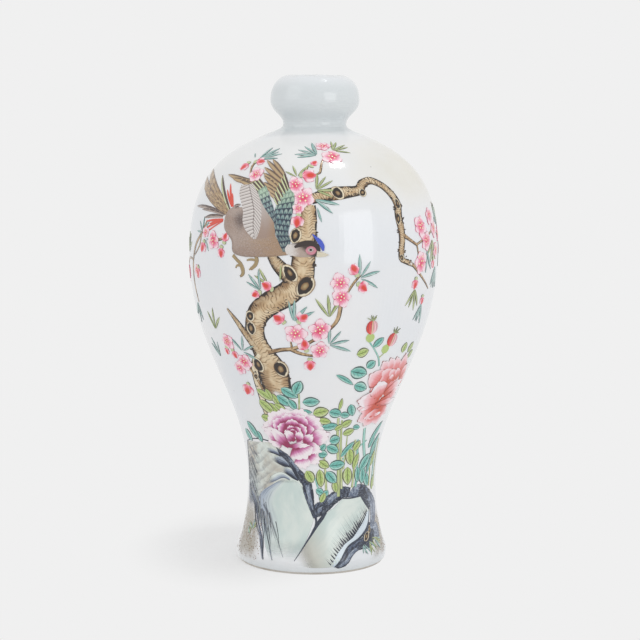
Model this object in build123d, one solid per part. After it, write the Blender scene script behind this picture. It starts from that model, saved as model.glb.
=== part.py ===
from build123d import *
import math
import os

# Porcelain vase of the plum-vase kind: splayed foot, drawn-in waist, high full shoulder,
# short neck and a small bulb mouth. Millimetres, +Z up, origin at the middle of the plane
# that the foot ring stands on. It is thrown in four sections that are luted with slip,
# then glazed outside, inside and under the base, with the foot ring left bare.

# Heights of the outside curve, each counted from the turn below it
FOOT_SWELL_HEIGHT = 4.8     # floor to the widest part of the foot
WAIST_RISE = 27.1           # widest part of the foot to the narrowest part of the waist
BELLY_RISE = 94.6           # waist to the widest part of the belly
SHOULDER_RISE = 47.5        # belly to the foot of the neck
NECK_RISE = 4.0             # foot of the neck to its narrowest part
BULB_RISE = 9.6             # neck to the widest part of the bulb mouth
LIP_RISE = 9.9              # bulb to the crest of the lip

# Radii of the outside curve, over the glaze
FOOT_RADIUS = 30.9
WAIST_RADIUS = 26.3
BELLY_RADIUS = 50.4
NECK_RADIUS = 12.7
BULB_RADIUS = 17.9
MOUTH_RADIUS = 8.0          # the narrowest part of the opening, inside the lip
NECK_FLARE = 6.7            # how far the foot of the neck spreads onto the shoulder
NECK_FLARE_SLOPE = 23.0     # degrees above level of the shoulder where the neck starts
LIP_ROLL = 2.0              # from the opening out to the crest of the lip
LIP_DROP = 1.8              # from the crest of the lip down to the narrowest opening

# How far each stretch of the curve keeps its direction, as a share of its own rise
FOOT_FULLNESS = (0.05, 0.64)
FLANK_FULLNESS = (0.37, 0.42)
SHOULDER_FULLNESS = (0.67, 0.37)
NECK_FULLNESS = (0.42, 0.42)
UNDER_BULB_FULLNESS = (0.34, 0.50)
OVER_BULB_FULLNESS = (0.54, 0.52)
LIP_FULLNESS = (0.55, 0.55)
RIM_FULLNESS = (0.40, 0.40)
INNER_LIP_FULLNESS = (0.35, 0.50)
INNER_BULB_FULLNESS = (0.45, 0.30)
INNER_NECK_FULLNESS = (0.45, 0.45)
INNER_FOOT_FULLNESS = (0.80, 0.75)
RECESS_FULLNESS = (0.75, 0.70)  # shares of the recess's radius and of its depth

# Walls
BODY_WALL = 3.2             # belly and waist, clay and both glazes
SHOULDER_WALL = 3.4         # where the shoulder carries the neck
NECK_WALL = 3.6
BULB_WALL = 3.4
FLOOR_THICKNESS = 4.0       # clay between the inside and the recess under the base
GLAZE = 0.4                 # thickness of each glaze coat
SLIP = 0.6                  # thickness of the slip in each luted joint
JOINT_BEVEL = 1.2           # how much higher a joint lies inside than outside

# Foot ring
RIM_ROUND = 1.2             # from the widest part of the foot in to the edge that stands
RING_WIDTH = 4.6            # flat part that the vase stands on
RING_BEVEL = 0.8            # bare slope inside the ring, up to the glaze of the recess
RECESS_DEPTH = 6.0
RECESS_DOME = 0.6           # how much deeper the recess is in the middle
RECESS_DRAFT = 8.0          # degrees that the recess opens towards the floor
BARE_RIM_HEIGHT = 1.0       # the glaze stops this far above the floor
BARE_RIM_SHARE = 0.65       # share of the rim's rounding that lies below the glaze edge
GLAZE_EDGE_LEAN = 15.0      # degrees that the foot still leans out at the glaze edge

# Directions in the plane of the outline
UP = Vector(0, 0, 1)
DOWN = -UP
OUTWARD = Vector(1, 0, 0)
INWARD = -OUTWARD

# Heights counted from the floor
WAIST_HEIGHT = FOOT_SWELL_HEIGHT + WAIST_RISE
BELLY_HEIGHT = WAIST_HEIGHT + BELLY_RISE
NECK_FOOT_HEIGHT = BELLY_HEIGHT + SHOULDER_RISE
NECK_HEIGHT = NECK_FOOT_HEIGHT + NECK_RISE
BULB_HEIGHT = NECK_HEIGHT + BULB_RISE
LIP_HEIGHT = BULB_HEIGHT + LIP_RISE
FLOOR_HEIGHT = RECESS_DEPTH + RECESS_DOME + FLOOR_THICKNESS
STAND_RADIUS = FOOT_RADIUS - RIM_ROUND
RING_INNER_RADIUS = STAND_RADIUS - RING_WIDTH


class Turn:
    """A point of the outline, with the way that the line runs there."""

    def __init__(self, radius, height, heading):
        self.radius = radius
        self.height = height
        self.heading = heading

    def along(self, reach):
        """The step of this length in the line's own direction."""
        return self.heading * reach

    def point(self, inset=0.0):
        """The place of the turn, moved this far into the clay, which lies left of the line."""
        clay = Vector(-self.heading.Z, 0, self.heading.X)
        return Vector(self.radius, 0, self.height) + clay * inset

    def shifted(self, rise):
        """The same turn at another height."""
        return Turn(self.radius, self.height + rise, self.heading)


def leaning(heading, towards, degrees):
    """A heading turned this far towards another one that is square to it."""
    angle = math.radians(degrees)
    return heading * math.cos(angle) + towards * math.sin(angle)


def stretch(start, end, fullness, span, inset=0.0):
    """A smooth curve between two turns that leaves and arrives in their directions."""
    a, b = start.point(inset), end.point(inset)
    leave = start.along(fullness[0] * span)
    arrive = end.along(fullness[1] * span)
    return Bezier(a, a + leave, b - arrive, b)


def turned(edges):
    """The solid that a closed outline sweeps round the axis."""
    return revolve(Face(Wire(edges)), axis=Axis.Z)


# Turns of the outside, from the foot up to the opening
glaze_edge = Turn(STAND_RADIUS + BARE_RIM_SHARE * RIM_ROUND, BARE_RIM_HEIGHT,
                  leaning(UP, OUTWARD, GLAZE_EDGE_LEAN))
foot = Turn(FOOT_RADIUS, FOOT_SWELL_HEIGHT, UP)
waist = Turn(WAIST_RADIUS, WAIST_HEIGHT, UP)
belly = Turn(BELLY_RADIUS, BELLY_HEIGHT, UP)
neck_foot = Turn(NECK_RADIUS + NECK_FLARE, NECK_FOOT_HEIGHT,
                 leaning(INWARD, UP, NECK_FLARE_SLOPE))
neck = Turn(NECK_RADIUS, NECK_HEIGHT, UP)
bulb = Turn(BULB_RADIUS, BULB_HEIGHT, UP)
lip = Turn(MOUTH_RADIUS + LIP_ROLL, LIP_HEIGHT, INWARD)
mouth = Turn(MOUTH_RADIUS, LIP_HEIGHT - LIP_DROP, DOWN)

# Turns of the inside, from the opening down to the middle of the floor
inner_bulb = Turn(BULB_RADIUS - BULB_WALL, BULB_HEIGHT, DOWN)
inner_neck = Turn(NECK_RADIUS - NECK_WALL, NECK_HEIGHT + JOINT_BEVEL, DOWN)
shoulder_in = neck_foot.point(SHOULDER_WALL)
inner_neck_foot = Turn(shoulder_in.X, shoulder_in.Z, -neck_foot.heading)
inner_belly = Turn(BELLY_RADIUS - BODY_WALL, BELLY_HEIGHT + JOINT_BEVEL, DOWN)
inner_waist = Turn(WAIST_RADIUS - BODY_WALL, WAIST_HEIGHT + JOINT_BEVEL, DOWN)
inner_floor = Turn(0.0, FLOOR_HEIGHT, INWARD)

# Turns of the recess under the base, from its middle to the bare slope of the ring
recess_top = Turn(0.0, RECESS_DEPTH + RECESS_DOME, OUTWARD)
recess_edge = Turn(RING_INNER_RADIUS - RING_BEVEL, BARE_RIM_HEIGHT,
                   leaning(DOWN, OUTWARD, RECESS_DRAFT))

HALF_SLIP = SLIP / 2


def outside_foot(inset):
    """The outside from the glaze edge to the joint at the waist."""
    top = waist.shifted(-HALF_SLIP)
    rise = foot.height - glaze_edge.height
    return [stretch(glaze_edge, foot, RIM_FULLNESS, rise, inset),
            stretch(foot, top, FOOT_FULLNESS, WAIST_RISE, inset)]


def outside_flank(inset):
    """The outside from the joint at the waist to the joint at the belly."""
    low, top = waist.shifted(HALF_SLIP), belly.shifted(-HALF_SLIP)
    return [stretch(low, top, FLANK_FULLNESS, BELLY_RISE, inset)]


def outside_shoulder(inset):
    """The outside from the joint at the belly to the joint at the neck."""
    return [stretch(belly.shifted(HALF_SLIP), neck_foot, SHOULDER_FULLNESS, SHOULDER_RISE, inset),
            stretch(neck_foot, neck.shifted(-HALF_SLIP), NECK_FULLNESS, NECK_RISE, inset)]


def outside_mouth(inset):
    """The outside from the joint at the neck over the bulb and the lip to the opening."""
    return [stretch(neck.shifted(HALF_SLIP), bulb, UNDER_BULB_FULLNESS, BULB_RISE, inset),
            stretch(bulb, lip, OVER_BULB_FULLNESS, LIP_RISE, inset),
            stretch(lip, mouth, LIP_FULLNESS, LIP_DROP, inset)]


def inside_mouth(inset):
    """The inside from the opening through the bulb to the joint at the neck."""
    drop = mouth.height - inner_bulb.height
    return [stretch(mouth, inner_bulb, INNER_LIP_FULLNESS, drop, inset),
            stretch(inner_bulb, inner_neck.shifted(HALF_SLIP), INNER_BULB_FULLNESS, BULB_RISE, inset)]


def inside_shoulder(inset):
    """The inside from the joint at the neck under the shoulder to the joint at the belly."""
    drop = inner_neck.height - inner_neck_foot.height
    low, under = inner_belly.shifted(HALF_SLIP), SHOULDER_FULLNESS[::-1]
    return [stretch(inner_neck.shifted(-HALF_SLIP), inner_neck_foot, INNER_NECK_FULLNESS, drop, inset),
            stretch(inner_neck_foot, low, under, SHOULDER_RISE, inset)]


def inside_flank(inset):
    """The inside from the joint at the belly to the joint at the waist."""
    top, low = inner_belly.shifted(-HALF_SLIP), inner_waist.shifted(HALF_SLIP)
    return [stretch(top, low, FLANK_FULLNESS[::-1], BELLY_RISE, inset)]


def inside_foot(inset):
    """The inside from the joint at the waist to the middle of the floor."""
    drop = inner_waist.height - inner_floor.height
    return [stretch(inner_waist.shifted(-HALF_SLIP), inner_floor, INNER_FOOT_FULLNESS, drop, inset)]


def recess(inset):
    """The underside from the middle of the recess to the bare slope of the ring."""
    across, down = RECESS_FULLNESS
    a, b = recess_top.point(inset), recess_edge.point(inset)
    leave = recess_top.along(across * recess_edge.radius)
    arrive = recess_edge.along(down * RECESS_DEPTH)
    return [Bezier(a, a + leave, b - arrive, b)]


def top_joint(outside, inside):
    """The bevelled face on top of a section."""
    return Line(outside[-1] @ 1, inside[0] @ 0)


def bottom_joint(outside, inside):
    """The bevelled face under a section."""
    return Line(inside[-1] @ 1, outside[0] @ 0)


def mouth_section():
    """The bulb mouth with its neck, closed over the lip and open at the joint of the neck."""
    outside, inside = outside_mouth(GLAZE), inside_mouth(GLAZE)
    return turned(outside + inside + [bottom_joint(outside, inside)])


def ring_section(outside, inside):
    """A thrown ring between two joints."""
    return turned(outside + [top_joint(outside, inside)] + inside + [bottom_joint(outside, inside)])


def luting_slip(outer, inner):
    """The thin ring of slip in the joint between two sections, flush with both of their faces."""
    corners = [outer.shifted(-HALF_SLIP).point(GLAZE), outer.shifted(HALF_SLIP).point(GLAZE),
               inner.shifted(HALF_SLIP).point(GLAZE), inner.shifted(-HALF_SLIP).point(GLAZE)]
    return turned(Polyline(*corners, close=True).edges())


def straight_joint(turn, inset, way):
    """The straight bit of a glaze coat that bridges the slip of one joint."""
    return [Line(turn.shifted(-way * HALF_SLIP).point(inset), turn.shifted(way * HALF_SLIP).point(inset))]


def outer_coat(inset):
    """The whole outside from the glaze edge to the opening."""
    return (outside_foot(inset) + straight_joint(waist, inset, 1) + outside_flank(inset)
            + straight_joint(belly, inset, 1) + outside_shoulder(inset)
            + straight_joint(neck, inset, 1) + outside_mouth(inset))


def inner_coat(inset):
    """The whole inside from the opening to the middle of the floor."""
    return (inside_mouth(inset) + straight_joint(inner_neck, inset, -1) + inside_shoulder(inset)
            + straight_joint(inner_belly, inset, -1) + inside_flank(inset)
            + straight_joint(inner_waist, inset, -1) + inside_foot(inset))


def glaze(coat):
    """A coat of glaze between its shining face and the clay."""
    face, clay = coat(0.0), coat(GLAZE)
    ends = [Line(face[0] @ 0, clay[0] @ 0), Line(face[-1] @ 1, clay[-1] @ 1)]
    return turned(face + clay + ends)


def foot_section():
    """The splayed foot with the floor of the vase, its standing ring and the recess under it."""
    outside, inside, under = outside_foot(GLAZE), inside_foot(GLAZE), recess(GLAZE)
    stand_outer, stand_inner = Vector(STAND_RADIUS, 0, 0), Vector(RING_INNER_RADIUS, 0, 0)
    rim_end = outside[0] @ 0
    rim = TangentArc(rim_end, stand_outer, tangent=-(outside[0] % 0))
    joint = top_joint(outside, inside)
    axis = Line(inside[-1] @ 1, under[0] @ 0)
    bevel = Line(under[-1] @ 1, stand_inner)
    ring = Line(stand_inner, stand_outer)
    return turned(outside + [joint] + inside + [axis] + under + [bevel, ring, rim])


parts = {
    "mouth_section": mouth_section(),
    "neck_luting_slip": luting_slip(neck, inner_neck),
    "shoulder_section": ring_section(outside_shoulder(GLAZE), inside_shoulder(GLAZE)),
    "belly_luting_slip": luting_slip(belly, inner_belly),
    "flank_section": ring_section(outside_flank(GLAZE), inside_flank(GLAZE)),
    "waist_luting_slip": luting_slip(waist, inner_waist),
    "foot_section": foot_section(),
    "outer_glaze": glaze(outer_coat),
    "inner_glaze": glaze(inner_coat),
    "base_glaze": glaze(recess),
}

os.makedirs("parts", exist_ok=True)
for node, solid in parts.items():
    solid.label = node
    export_step(solid, f"parts/{node}.step")
    box = solid.bounding_box()
    print(f"{node}: {solid.volume:.1f} mm3, {box.size.X:.2f} x {box.size.Y:.2f} x {box.size.Z:.2f}")
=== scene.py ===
"""Painted porcelain vase: glaze, bare foot rim and an overglaze painting of flowers, a bird and rocks."""
import math
import random
from functools import partialmethod

import bpy
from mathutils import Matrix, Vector


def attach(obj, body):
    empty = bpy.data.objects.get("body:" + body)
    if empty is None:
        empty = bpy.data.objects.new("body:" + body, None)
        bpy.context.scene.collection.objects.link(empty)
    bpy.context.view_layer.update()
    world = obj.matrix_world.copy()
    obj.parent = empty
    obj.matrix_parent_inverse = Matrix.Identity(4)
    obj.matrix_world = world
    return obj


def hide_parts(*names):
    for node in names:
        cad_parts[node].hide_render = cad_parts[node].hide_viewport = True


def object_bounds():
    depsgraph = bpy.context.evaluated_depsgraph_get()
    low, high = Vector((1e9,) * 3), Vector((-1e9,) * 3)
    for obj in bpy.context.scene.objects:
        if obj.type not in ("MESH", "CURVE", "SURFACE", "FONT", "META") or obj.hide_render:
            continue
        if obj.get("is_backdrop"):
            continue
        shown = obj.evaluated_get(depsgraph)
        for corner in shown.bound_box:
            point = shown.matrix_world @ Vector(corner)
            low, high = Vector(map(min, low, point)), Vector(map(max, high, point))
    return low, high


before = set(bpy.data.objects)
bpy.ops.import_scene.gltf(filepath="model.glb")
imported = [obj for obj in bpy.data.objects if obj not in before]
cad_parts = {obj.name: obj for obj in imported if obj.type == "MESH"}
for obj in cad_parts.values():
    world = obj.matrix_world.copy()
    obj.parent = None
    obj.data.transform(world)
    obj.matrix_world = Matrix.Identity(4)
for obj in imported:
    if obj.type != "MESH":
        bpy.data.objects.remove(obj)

bl_info = {
    "name": "Painted plum vase",
    "version": (1, 0, 0),
    "blender": (4, 5, 0),
    "location": "View3D > Sidebar > Vase",
    "description": "Glazes a turned porcelain vase and paints it with flowers, a bird and rocks",
    "category": "Object",
}

CAD_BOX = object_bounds()
MM = 0.001
UV_NAME = "OFBake"
CELL_MARGIN = 0.03          # empty share round each cell of a painted piece's own map


def srgb(red, green, blue):
    """A colour given as 0 to 255, as the linear values that nodes take."""
    def linear(share):
        return share / 12.92 if share <= 0.04045 else ((share + 0.055) / 1.055) ** 2.4
    return tuple(linear(part / 255) for part in (red, green, blue))


class Value:
    """One socket of a node tree. Sums on it add Math nodes."""

    def __init__(self, socket):
        self.socket = socket

    @property
    def tree(self):
        return self.socket.id_data

    @staticmethod
    def node(tree, kind, settings=None, inputs=None, output=0):
        """Add a node: its settings come first, then the values or links of its sockets."""
        made = tree.nodes.new(kind)
        for name, setting in (settings or {}).items():
            if name == "line":
                fill_line(made.mapping, setting)
            else:
                setattr(made, name, setting)
        for key, given in (inputs or {}).items():
            for value in given if isinstance(given, list) else [given]:
                if isinstance(value, Value):
                    tree.links.new(value.socket, made.inputs[key])
                else:
                    made.inputs[key].default_value = value
        return Value(made.outputs[output])

    def math(self, operation, *others):
        inputs = {place: other for place, other in enumerate((self, *others))}
        return Value.node(self.tree, "ShaderNodeMath", {"operation": operation}, inputs)

    __add__ = __radd__ = partialmethod(math, "ADD")
    __sub__ = partialmethod(math, "SUBTRACT")
    __mul__ = __rmul__ = partialmethod(math, "MULTIPLY")
    __truediv__ = partialmethod(math, "DIVIDE")
    __pow__ = partialmethod(math, "POWER")
    __gt__ = partialmethod(math, "GREATER_THAN")
    __lt__ = partialmethod(math, "LESS_THAN")
    __abs__ = partialmethod(math, "ABSOLUTE")

    def __rsub__(self, other):
        return Value.node(self.tree, "ShaderNodeMath", {"operation": "SUBTRACT"}, {0: other, 1: self})

    def part(self, axis):
        """One of the three numbers of a vector."""
        return Value.node(self.tree, "ShaderNodeSeparateXYZ", None, {0: self}, axis)

    def smooth(self, low, high, start=0.0, end=1.0):
        """A soft step from start to end between two values."""
        inputs = {0: self, 1: low, 2: high, 3: start, 4: end}
        return Value.node(self.tree, "ShaderNodeMapRange", {"interpolation_type": "SMOOTHSTEP"}, inputs)

    def blend(self, under, over):
        """The colour under where this is 0 and the colour over where it is 1."""
        inputs = {0: self, 6: rgba(under), 7: rgba(over)}
        return Value.node(self.tree, "ShaderNodeMix", {"data_type": "RGBA"}, inputs, 2)


def rgba(colour):
    """A colour that a node's colour socket takes."""
    return colour if isinstance(colour, Value) else (*tuple(colour)[:3], 1.0)


def layers(colour, *washes):
    """A colour under washes, each as thick as its share says."""
    for share, wash in washes:
        colour = share.blend(colour, wash)
    return colour


def fill_line(mapping, points):
    """Set the points of a curve that turns one number into another."""
    line = mapping.curves[0]
    while len(line.points) < len(points):
        line.points.new(1.0, 1.0)
    for point, (across, up) in zip(line.points, points):
        point.location = (across, up)
        point.handle_type = "AUTO_CLAMPED"
    mapping.update()


def vector(tree, x, y, z=0.0):
    """Three numbers or values as one vector."""
    return Value.node(tree, "ShaderNodeCombineXYZ", None, {0: x, 1: y, 2: z})


def noise(tree, place, scale, detail):
    """Soft random values from 0 to 1."""
    inputs = {"Vector": place, "Scale": scale, "Detail": detail, "Roughness": 0.55}
    return Value.node(tree, "ShaderNodeTexNoise", None, inputs)


# The outline of the vase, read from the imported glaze

def seam_links(mesh):
    """Which points of a turned mesh's seam follow each other, as (radius, height) pairs."""
    def key(vertex):
        return round(math.hypot(vertex.co.x, vertex.co.y), 6), round(vertex.co.z, 6)

    def on_seam(vertex):
        return vertex.co.x > 0 and abs(vertex.co.y) < 1e-4 * vertex.co.x

    links = {}
    for edge in mesh.edges:
        a, b = (mesh.vertices[index] for index in edge.vertices)
        if on_seam(a) and on_seam(b) and key(a) != key(b):
            links.setdefault(key(a), set()).add(key(b))
            links.setdefault(key(b), set()).add(key(a))
    return links


def read_outline(node):
    """The shining side of a glaze coat, from its lower edge up over the lip to the opening."""
    links = seam_links(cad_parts[node].data)
    here = min(links, key=lambda point: point[1])
    opening = min(point[0] for point in links)
    line = [here]
    onward = max(links[here])
    while True:
        line.append(onward)
        if onward[0] <= opening:
            return line
        here, onward = onward, next(point for point in links[onward] if point != here)


def even_points(line, count):
    """A smooth line through uneven points, as points at even steps."""
    points = [Vector((radius, height)) for radius, height in line]
    steps = [(b - a).length for a, b in zip(points, points[1:])]
    lean = [(points[1] - points[0]) / steps[0]]
    for here in range(1, len(points) - 1):
        before = (points[here] - points[here - 1]) / steps[here - 1]
        after = (points[here + 1] - points[here]) / steps[here]
        share = steps[here - 1] / (steps[here - 1] + steps[here])
        lean.append(before.lerp(after, share))
    lean.append((points[-1] - points[-2]) / steps[-1])
    total, smooth, here, passed = sum(steps), [], 0, 0.0
    for index in range(count):
        along = total * index / (count - 1)
        while here < len(steps) - 1 and along > passed + steps[here]:
            passed += steps[here]
            here += 1
        t = min(max((along - passed) / steps[here], 0.0), 1.0)
        a, b = points[here], points[here + 1]
        da, db = lean[here] * steps[here], lean[here + 1] * steps[here]
        smooth.append(a * (1 + 2 * t) * (1 - t) ** 2 + da * t * (1 - t) ** 2
                      + b * t * t * (3 - 2 * t) + db * t * t * (t - 1))
    return smooth


class Canvas:
    """The outside of the vase as a sheet: an angle round the axis and a length along the outline."""

    def __init__(self, line):
        self.line = line
        self.lengths = [0.0]
        for a, b in zip(line, line[1:]):
            self.lengths.append(self.lengths[-1] + (b - a).length)

    def along(self, height):
        """The length along the outline at this height, in millimetres, below the lip."""
        height *= MM
        for index, (a, b) in enumerate(zip(self.line, self.line[1:])):
            if a.y <= height < b.y:
                share = (height - a.y) / (b.y - a.y)
                return self.lengths[index] + share * (b - a).length
        return 0.0

    def radius(self, along):
        """The radius of the vase at a length along the outline."""
        step = self.lengths[-1] / (len(self.line) - 1)
        return self.line[min(max(round(along / step), 0), len(self.line) - 1)].x

    def place(self, angle, height):
        """Degrees to the right of the front and millimetres above the painting's foot, as a place."""
        return math.radians(angle), self.along(height - PAINTING_FOOT)

    def shift(self, place, right, up):
        """A place moved by millimetres to the right and up along the surface."""
        along = place[1] + up * MM
        return place[0] + right * MM / self.radius(along), along

    def ahead(self, place, turn, reach):
        """A place moved by millimetres along a heading in degrees."""
        way = math.radians(turn)
        return self.shift(place, reach * math.sin(way), reach * math.cos(way))


OUTLINE_POINTS = 420
PAINTING_FOOT = 2.5         # heights in the painting count from this far under the floor, in millimetres
canvas = Canvas(even_points(read_outline("outer_glaze"), OUTLINE_POINTS))


# Geometry trees that lay enamel on the vase

class Tree:
    """A geometry tree with named inputs."""

    def __init__(self, name, inputs):
        self.tree = bpy.data.node_groups.new(name, "GeometryNodeTree")
        sides = self.tree.interface
        for label, kind in [("Geometry", "Geometry"), *inputs]:
            sides.new_socket(label, in_out="INPUT", socket_type="NodeSocket" + kind)
        sides.new_socket("Geometry", in_out="OUTPUT", socket_type="NodeSocketGeometry")
        sockets = self.tree.nodes.new("NodeGroupInput").outputs
        self.given = {socket.name: Value(socket) for socket in sockets if socket.name}

    def node(self, kind, settings=None, inputs=None, output=0):
        return Value.node(self.tree, kind, settings, inputs, output)

    def attribute(self, name):
        return self.node("GeometryNodeInputNamedAttribute", {"data_type": "FLOAT_VECTOR"}, {"Name": name})

    def store(self, geometry, name, value, kind="FLOAT_VECTOR", domain="POINT"):
        inputs = {"Geometry": geometry, "Name": name, "Value": value}
        return self.node("GeometryNodeStoreNamedAttribute", {"data_type": kind, "domain": domain}, inputs)

    def finish(self, geometry):
        """Make the rims crisp, set the material and end the tree."""
        bend = self.node("GeometryNodeInputMeshEdgeAngle")
        gentle = self.node("FunctionNodeCompare", {"operation": "LESS_THAN"}, {0: bend, 1: RIM_ANGLE})
        smooth = self.node("GeometryNodeSetShadeSmooth", {"domain": "EDGE"}, {0: geometry, 2: gentle})
        final = self.node("GeometryNodeSetMaterial", None, {0: smooth, 2: self.given["Material"]})
        end = self.tree.nodes.new("NodeGroupOutput")
        self.tree.links.new(final.socket, end.inputs[0])
        return self.tree

    def outline_at(self, along):
        """The vase's outline at a length along it: its point and its direction."""
        info = self.node("GeometryNodeObjectInfo", None, {0: self.given["Outline"]}, "Geometry")
        inputs = {"Curves": info, "Length": along}
        point = self.node("GeometryNodeSampleCurve", {"mode": "LENGTH"}, inputs, "Position")
        return point, Value(point.socket.node.outputs["Tangent"])

    def wrap(self, geometry, angle, along, off, right=None):
        """Move points of a flat sheet onto the vase: at an angle, this far along and off its surface."""
        point, heading = self.outline_at(along)
        radius = point.part(0) + heading.part(2) * off
        turn = angle if right is None else angle + right / point.part(0)
        height = point.part(2) - heading.part(0) * off
        place = vector(self.tree, radius * turn.math("SINE"), 0 - radius * turn.math("COSINE"), height)
        return self.node("GeometryNodeSetPosition", None, {"Geometry": geometry, "Position": place})

    def slab(self):
        """A closed slab whose points know their place: across, along and on which face."""
        inputs = {"Size": (2.0, 1.0, 1.0), "Vertices X": self.given["Across"],
                  "Vertices Y": self.given["Along"], "Vertices Z": 2}
        slab = self.node("GeometryNodeMeshCube", None, inputs)
        return self.store(slab, "sheet", self.node("GeometryNodeInputPosition"))

    def slabs_on(self, points):
        """A slab on each point, made real so that its corners can be moved."""
        inputs = {"Points": points, "Instance": self.slab()}
        slabs = self.node("GeometryNodeInstanceOnPoints", None, inputs)
        return self.node("GeometryNodeRealizeInstances", None, {0: slabs})

    def slab_place(self):
        """Where a slab's point is: from -1 to 1 across, from 0 to 1 along, and 1 on its upper face."""
        sheet = self.attribute("sheet")
        return sheet.part(0), sheet.part(1) + 0.5, sheet.part(2) + 0.5

    def cell_map(self, geometry, across, along, cell):
        """Give each slab one cell of the piece's own map."""
        columns, rows = self.given["Columns"], self.given["Rows"]
        inside = 1 - 2 * CELL_MARGIN
        column = cell.math("MODULO", columns).math("FLOOR")
        row = (cell / columns).math("FLOOR")
        x = (column + CELL_MARGIN + inside * 0.5 * (across + 1)) / columns
        y = (row + CELL_MARGIN + inside * along) / rows
        return self.store(geometry, UV_NAME, vector(self.tree, x, y), "FLOAT2", "CORNER")


PAINT_INPUTS = [("Outline", "Object"), ("Material", "Material"), ("Across", "Int"), ("Along", "Int"),
                ("Columns", "Float"), ("Rows", "Float"), ("Relief", "Float"), ("Under", "Float")]
SHEET_RADIUS = 0.04         # radius at which the paths' flat sheet keeps its lengths
RIM_ANGLE = math.radians(40)


def dab_tree(name, breadth):
    """Petals, leaves or feathers: a slab on each point, shaped by a breadth along its length."""
    made = Tree(name, [*PAINT_INPUTS, ("Round", "Float"), ("Notch", "Float"), ("Lobes", "Float"),
                       ("Lobe Depth", "Float")])
    given = made.given
    slabs = made.slabs_on(given["Geometry"])
    across, even, upper = made.slab_place()
    along = 0.5 - 0.5 * (even * math.pi).math("COSINE")
    home, size, turn = (made.attribute(label) for label in ("home", "size", "turn"))
    length, width, bend = (size.part(axis) for axis in range(3))
    wide = made.node("ShaderNodeFloatCurve", {"line": breadth}, {"Value": along})
    middle = (1 - abs(across)) ** 4
    scallop = 1 - abs((across * given["Lobes"] * (math.pi / 2)).math("COSINE"))
    tip = given["Round"] * across * across + given["Notch"] * middle + given["Lobe Depth"] * scallop
    sideways = across * wide * width * 0.5 + bend * length * along * along
    onward = length * (along - along * along * tip)
    angle = turn.part(0)
    right = sideways * angle.math("COSINE") + onward * angle.math("SINE")
    up = onward * angle.math("COSINE") - sideways * angle.math("SINE")
    swell = given["Relief"] * (1 - across * across) * 4 * along * (1 - along)
    off = upper * (home.part(2) + swell) - (1 - upper) * given["Under"]
    slabs = made.cell_map(slabs, across, along, turn.part(1))
    return made.finish(made.wrap(slabs, home.part(0), home.part(1) + up, off, right))


def path_tree(name):
    """Twigs and washes: a slab along each path, as broad as the path says, its faces looking outward."""
    made = Tree(name, PAINT_INPUTS)
    given = made.given
    paths = made.node("GeometryNodeMeshToCurve", None, {0: given["Geometry"]})
    paths = made.node("GeometryNodeCurveSplineType", {"spline_type": "CATMULL_ROM"}, {0: paths})
    count = made.node("GeometryNodeAttributeDomainSize", {"component": "CURVE"}, {0: paths}, "Spline Count")
    points = made.node("GeometryNodePoints", None, {"Count": count})
    points = made.store(points, "path", made.node("GeometryNodeInputIndex"))
    slabs = made.slabs_on(points)
    across, along, upper = made.slab_place()
    inputs = {"Curves": paths, "Value": made.attribute("half"), "Factor": along,
              "Curve Index": made.attribute("path").part(0)}
    settings = {"mode": "FACTOR", "data_type": "FLOAT_VECTOR"}
    half = made.node("GeometryNodeSampleCurve", settings, inputs, "Value")
    middle = Value(half.socket.node.outputs["Position"])
    swell = given["Relief"] * (1 - across * across)
    off = upper * (middle.part(2) + swell) - (1 - upper) * given["Under"]
    slabs = made.cell_map(slabs, across, along, (half.part(2) + 0.5).math("FLOOR"))
    angle = (middle.part(0) + across * half.part(0)) / SHEET_RADIUS
    slabs = made.wrap(slabs, angle, middle.part(1) + across * half.part(1), off)
    halfway = made.node("GeometryNodeSampleCurve", settings, {**inputs, "Factor": 0.5}, "Value")
    heading = Value(halfway.socket.node.outputs["Tangent"])
    mirrored = heading.part(0) * halfway.part(1) > heading.part(1) * halfway.part(0)
    return made.finish(made.node("GeometryNodeFlipFaces", None, {"Mesh": slabs, "Selection": mirrored}))


def lathe_tree(name):
    """A coat of glaze: the outline turned round the axis, closed by a second skin on the clay."""
    made = Tree(name, [*PAINT_INPUTS[:2], ("Rings", "Int"), ("Segments", "Int"), ("Under", "Float"),
                       ("Length", "Float")])
    given = made.given
    inputs = {"Size": (1.0, 1.0, 1.0), "Vertices X": given["Segments"] + 1, "Vertices Y": given["Rings"],
              "Vertices Z": 2}
    slab = made.node("GeometryNodeMeshCube", None, inputs)
    ends = abs(made.node("GeometryNodeInputNormal").part(0)) > 0.5
    slab = made.node("GeometryNodeDeleteGeometry", {"domain": "FACE"}, {0: slab, 1: ends})
    slab = made.store(slab, "sheet", made.node("GeometryNodeInputPosition"))
    sheet = made.attribute("sheet")
    across, along, upper = (sheet.part(axis) + 0.5 for axis in range(3))
    strip = upper * along * OUTSIDE_SHARE + (1 - upper) * (1 - along * (1 - OUTSIDE_SHARE))
    slab = made.store(slab, UV_NAME, vector(made.tree, across, strip), "FLOAT2", "CORNER")
    turn = (across - 0.5) * (2 * math.pi)
    coat = made.wrap(slab, turn, along * given["Length"], (upper - 1) * given["Under"])
    coat = made.node("GeometryNodeMergeByDistance", None, {"Geometry": coat, "Distance": SEAM_GAP})
    return made.finish(coat)


OUTSIDE_SHARE = 0.92        # share of the coat's map that its outer side takes
SEAM_GAP = 1e-6


def set_inputs(modifier, tree, values):
    """Set a tree's inputs by the identifiers of their sockets."""
    places = {item.name: item.identifier for item in tree.interface.items_tree if item.in_out == "INPUT"}
    for name, value in values.items():
        modifier[places[name]] = value


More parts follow.
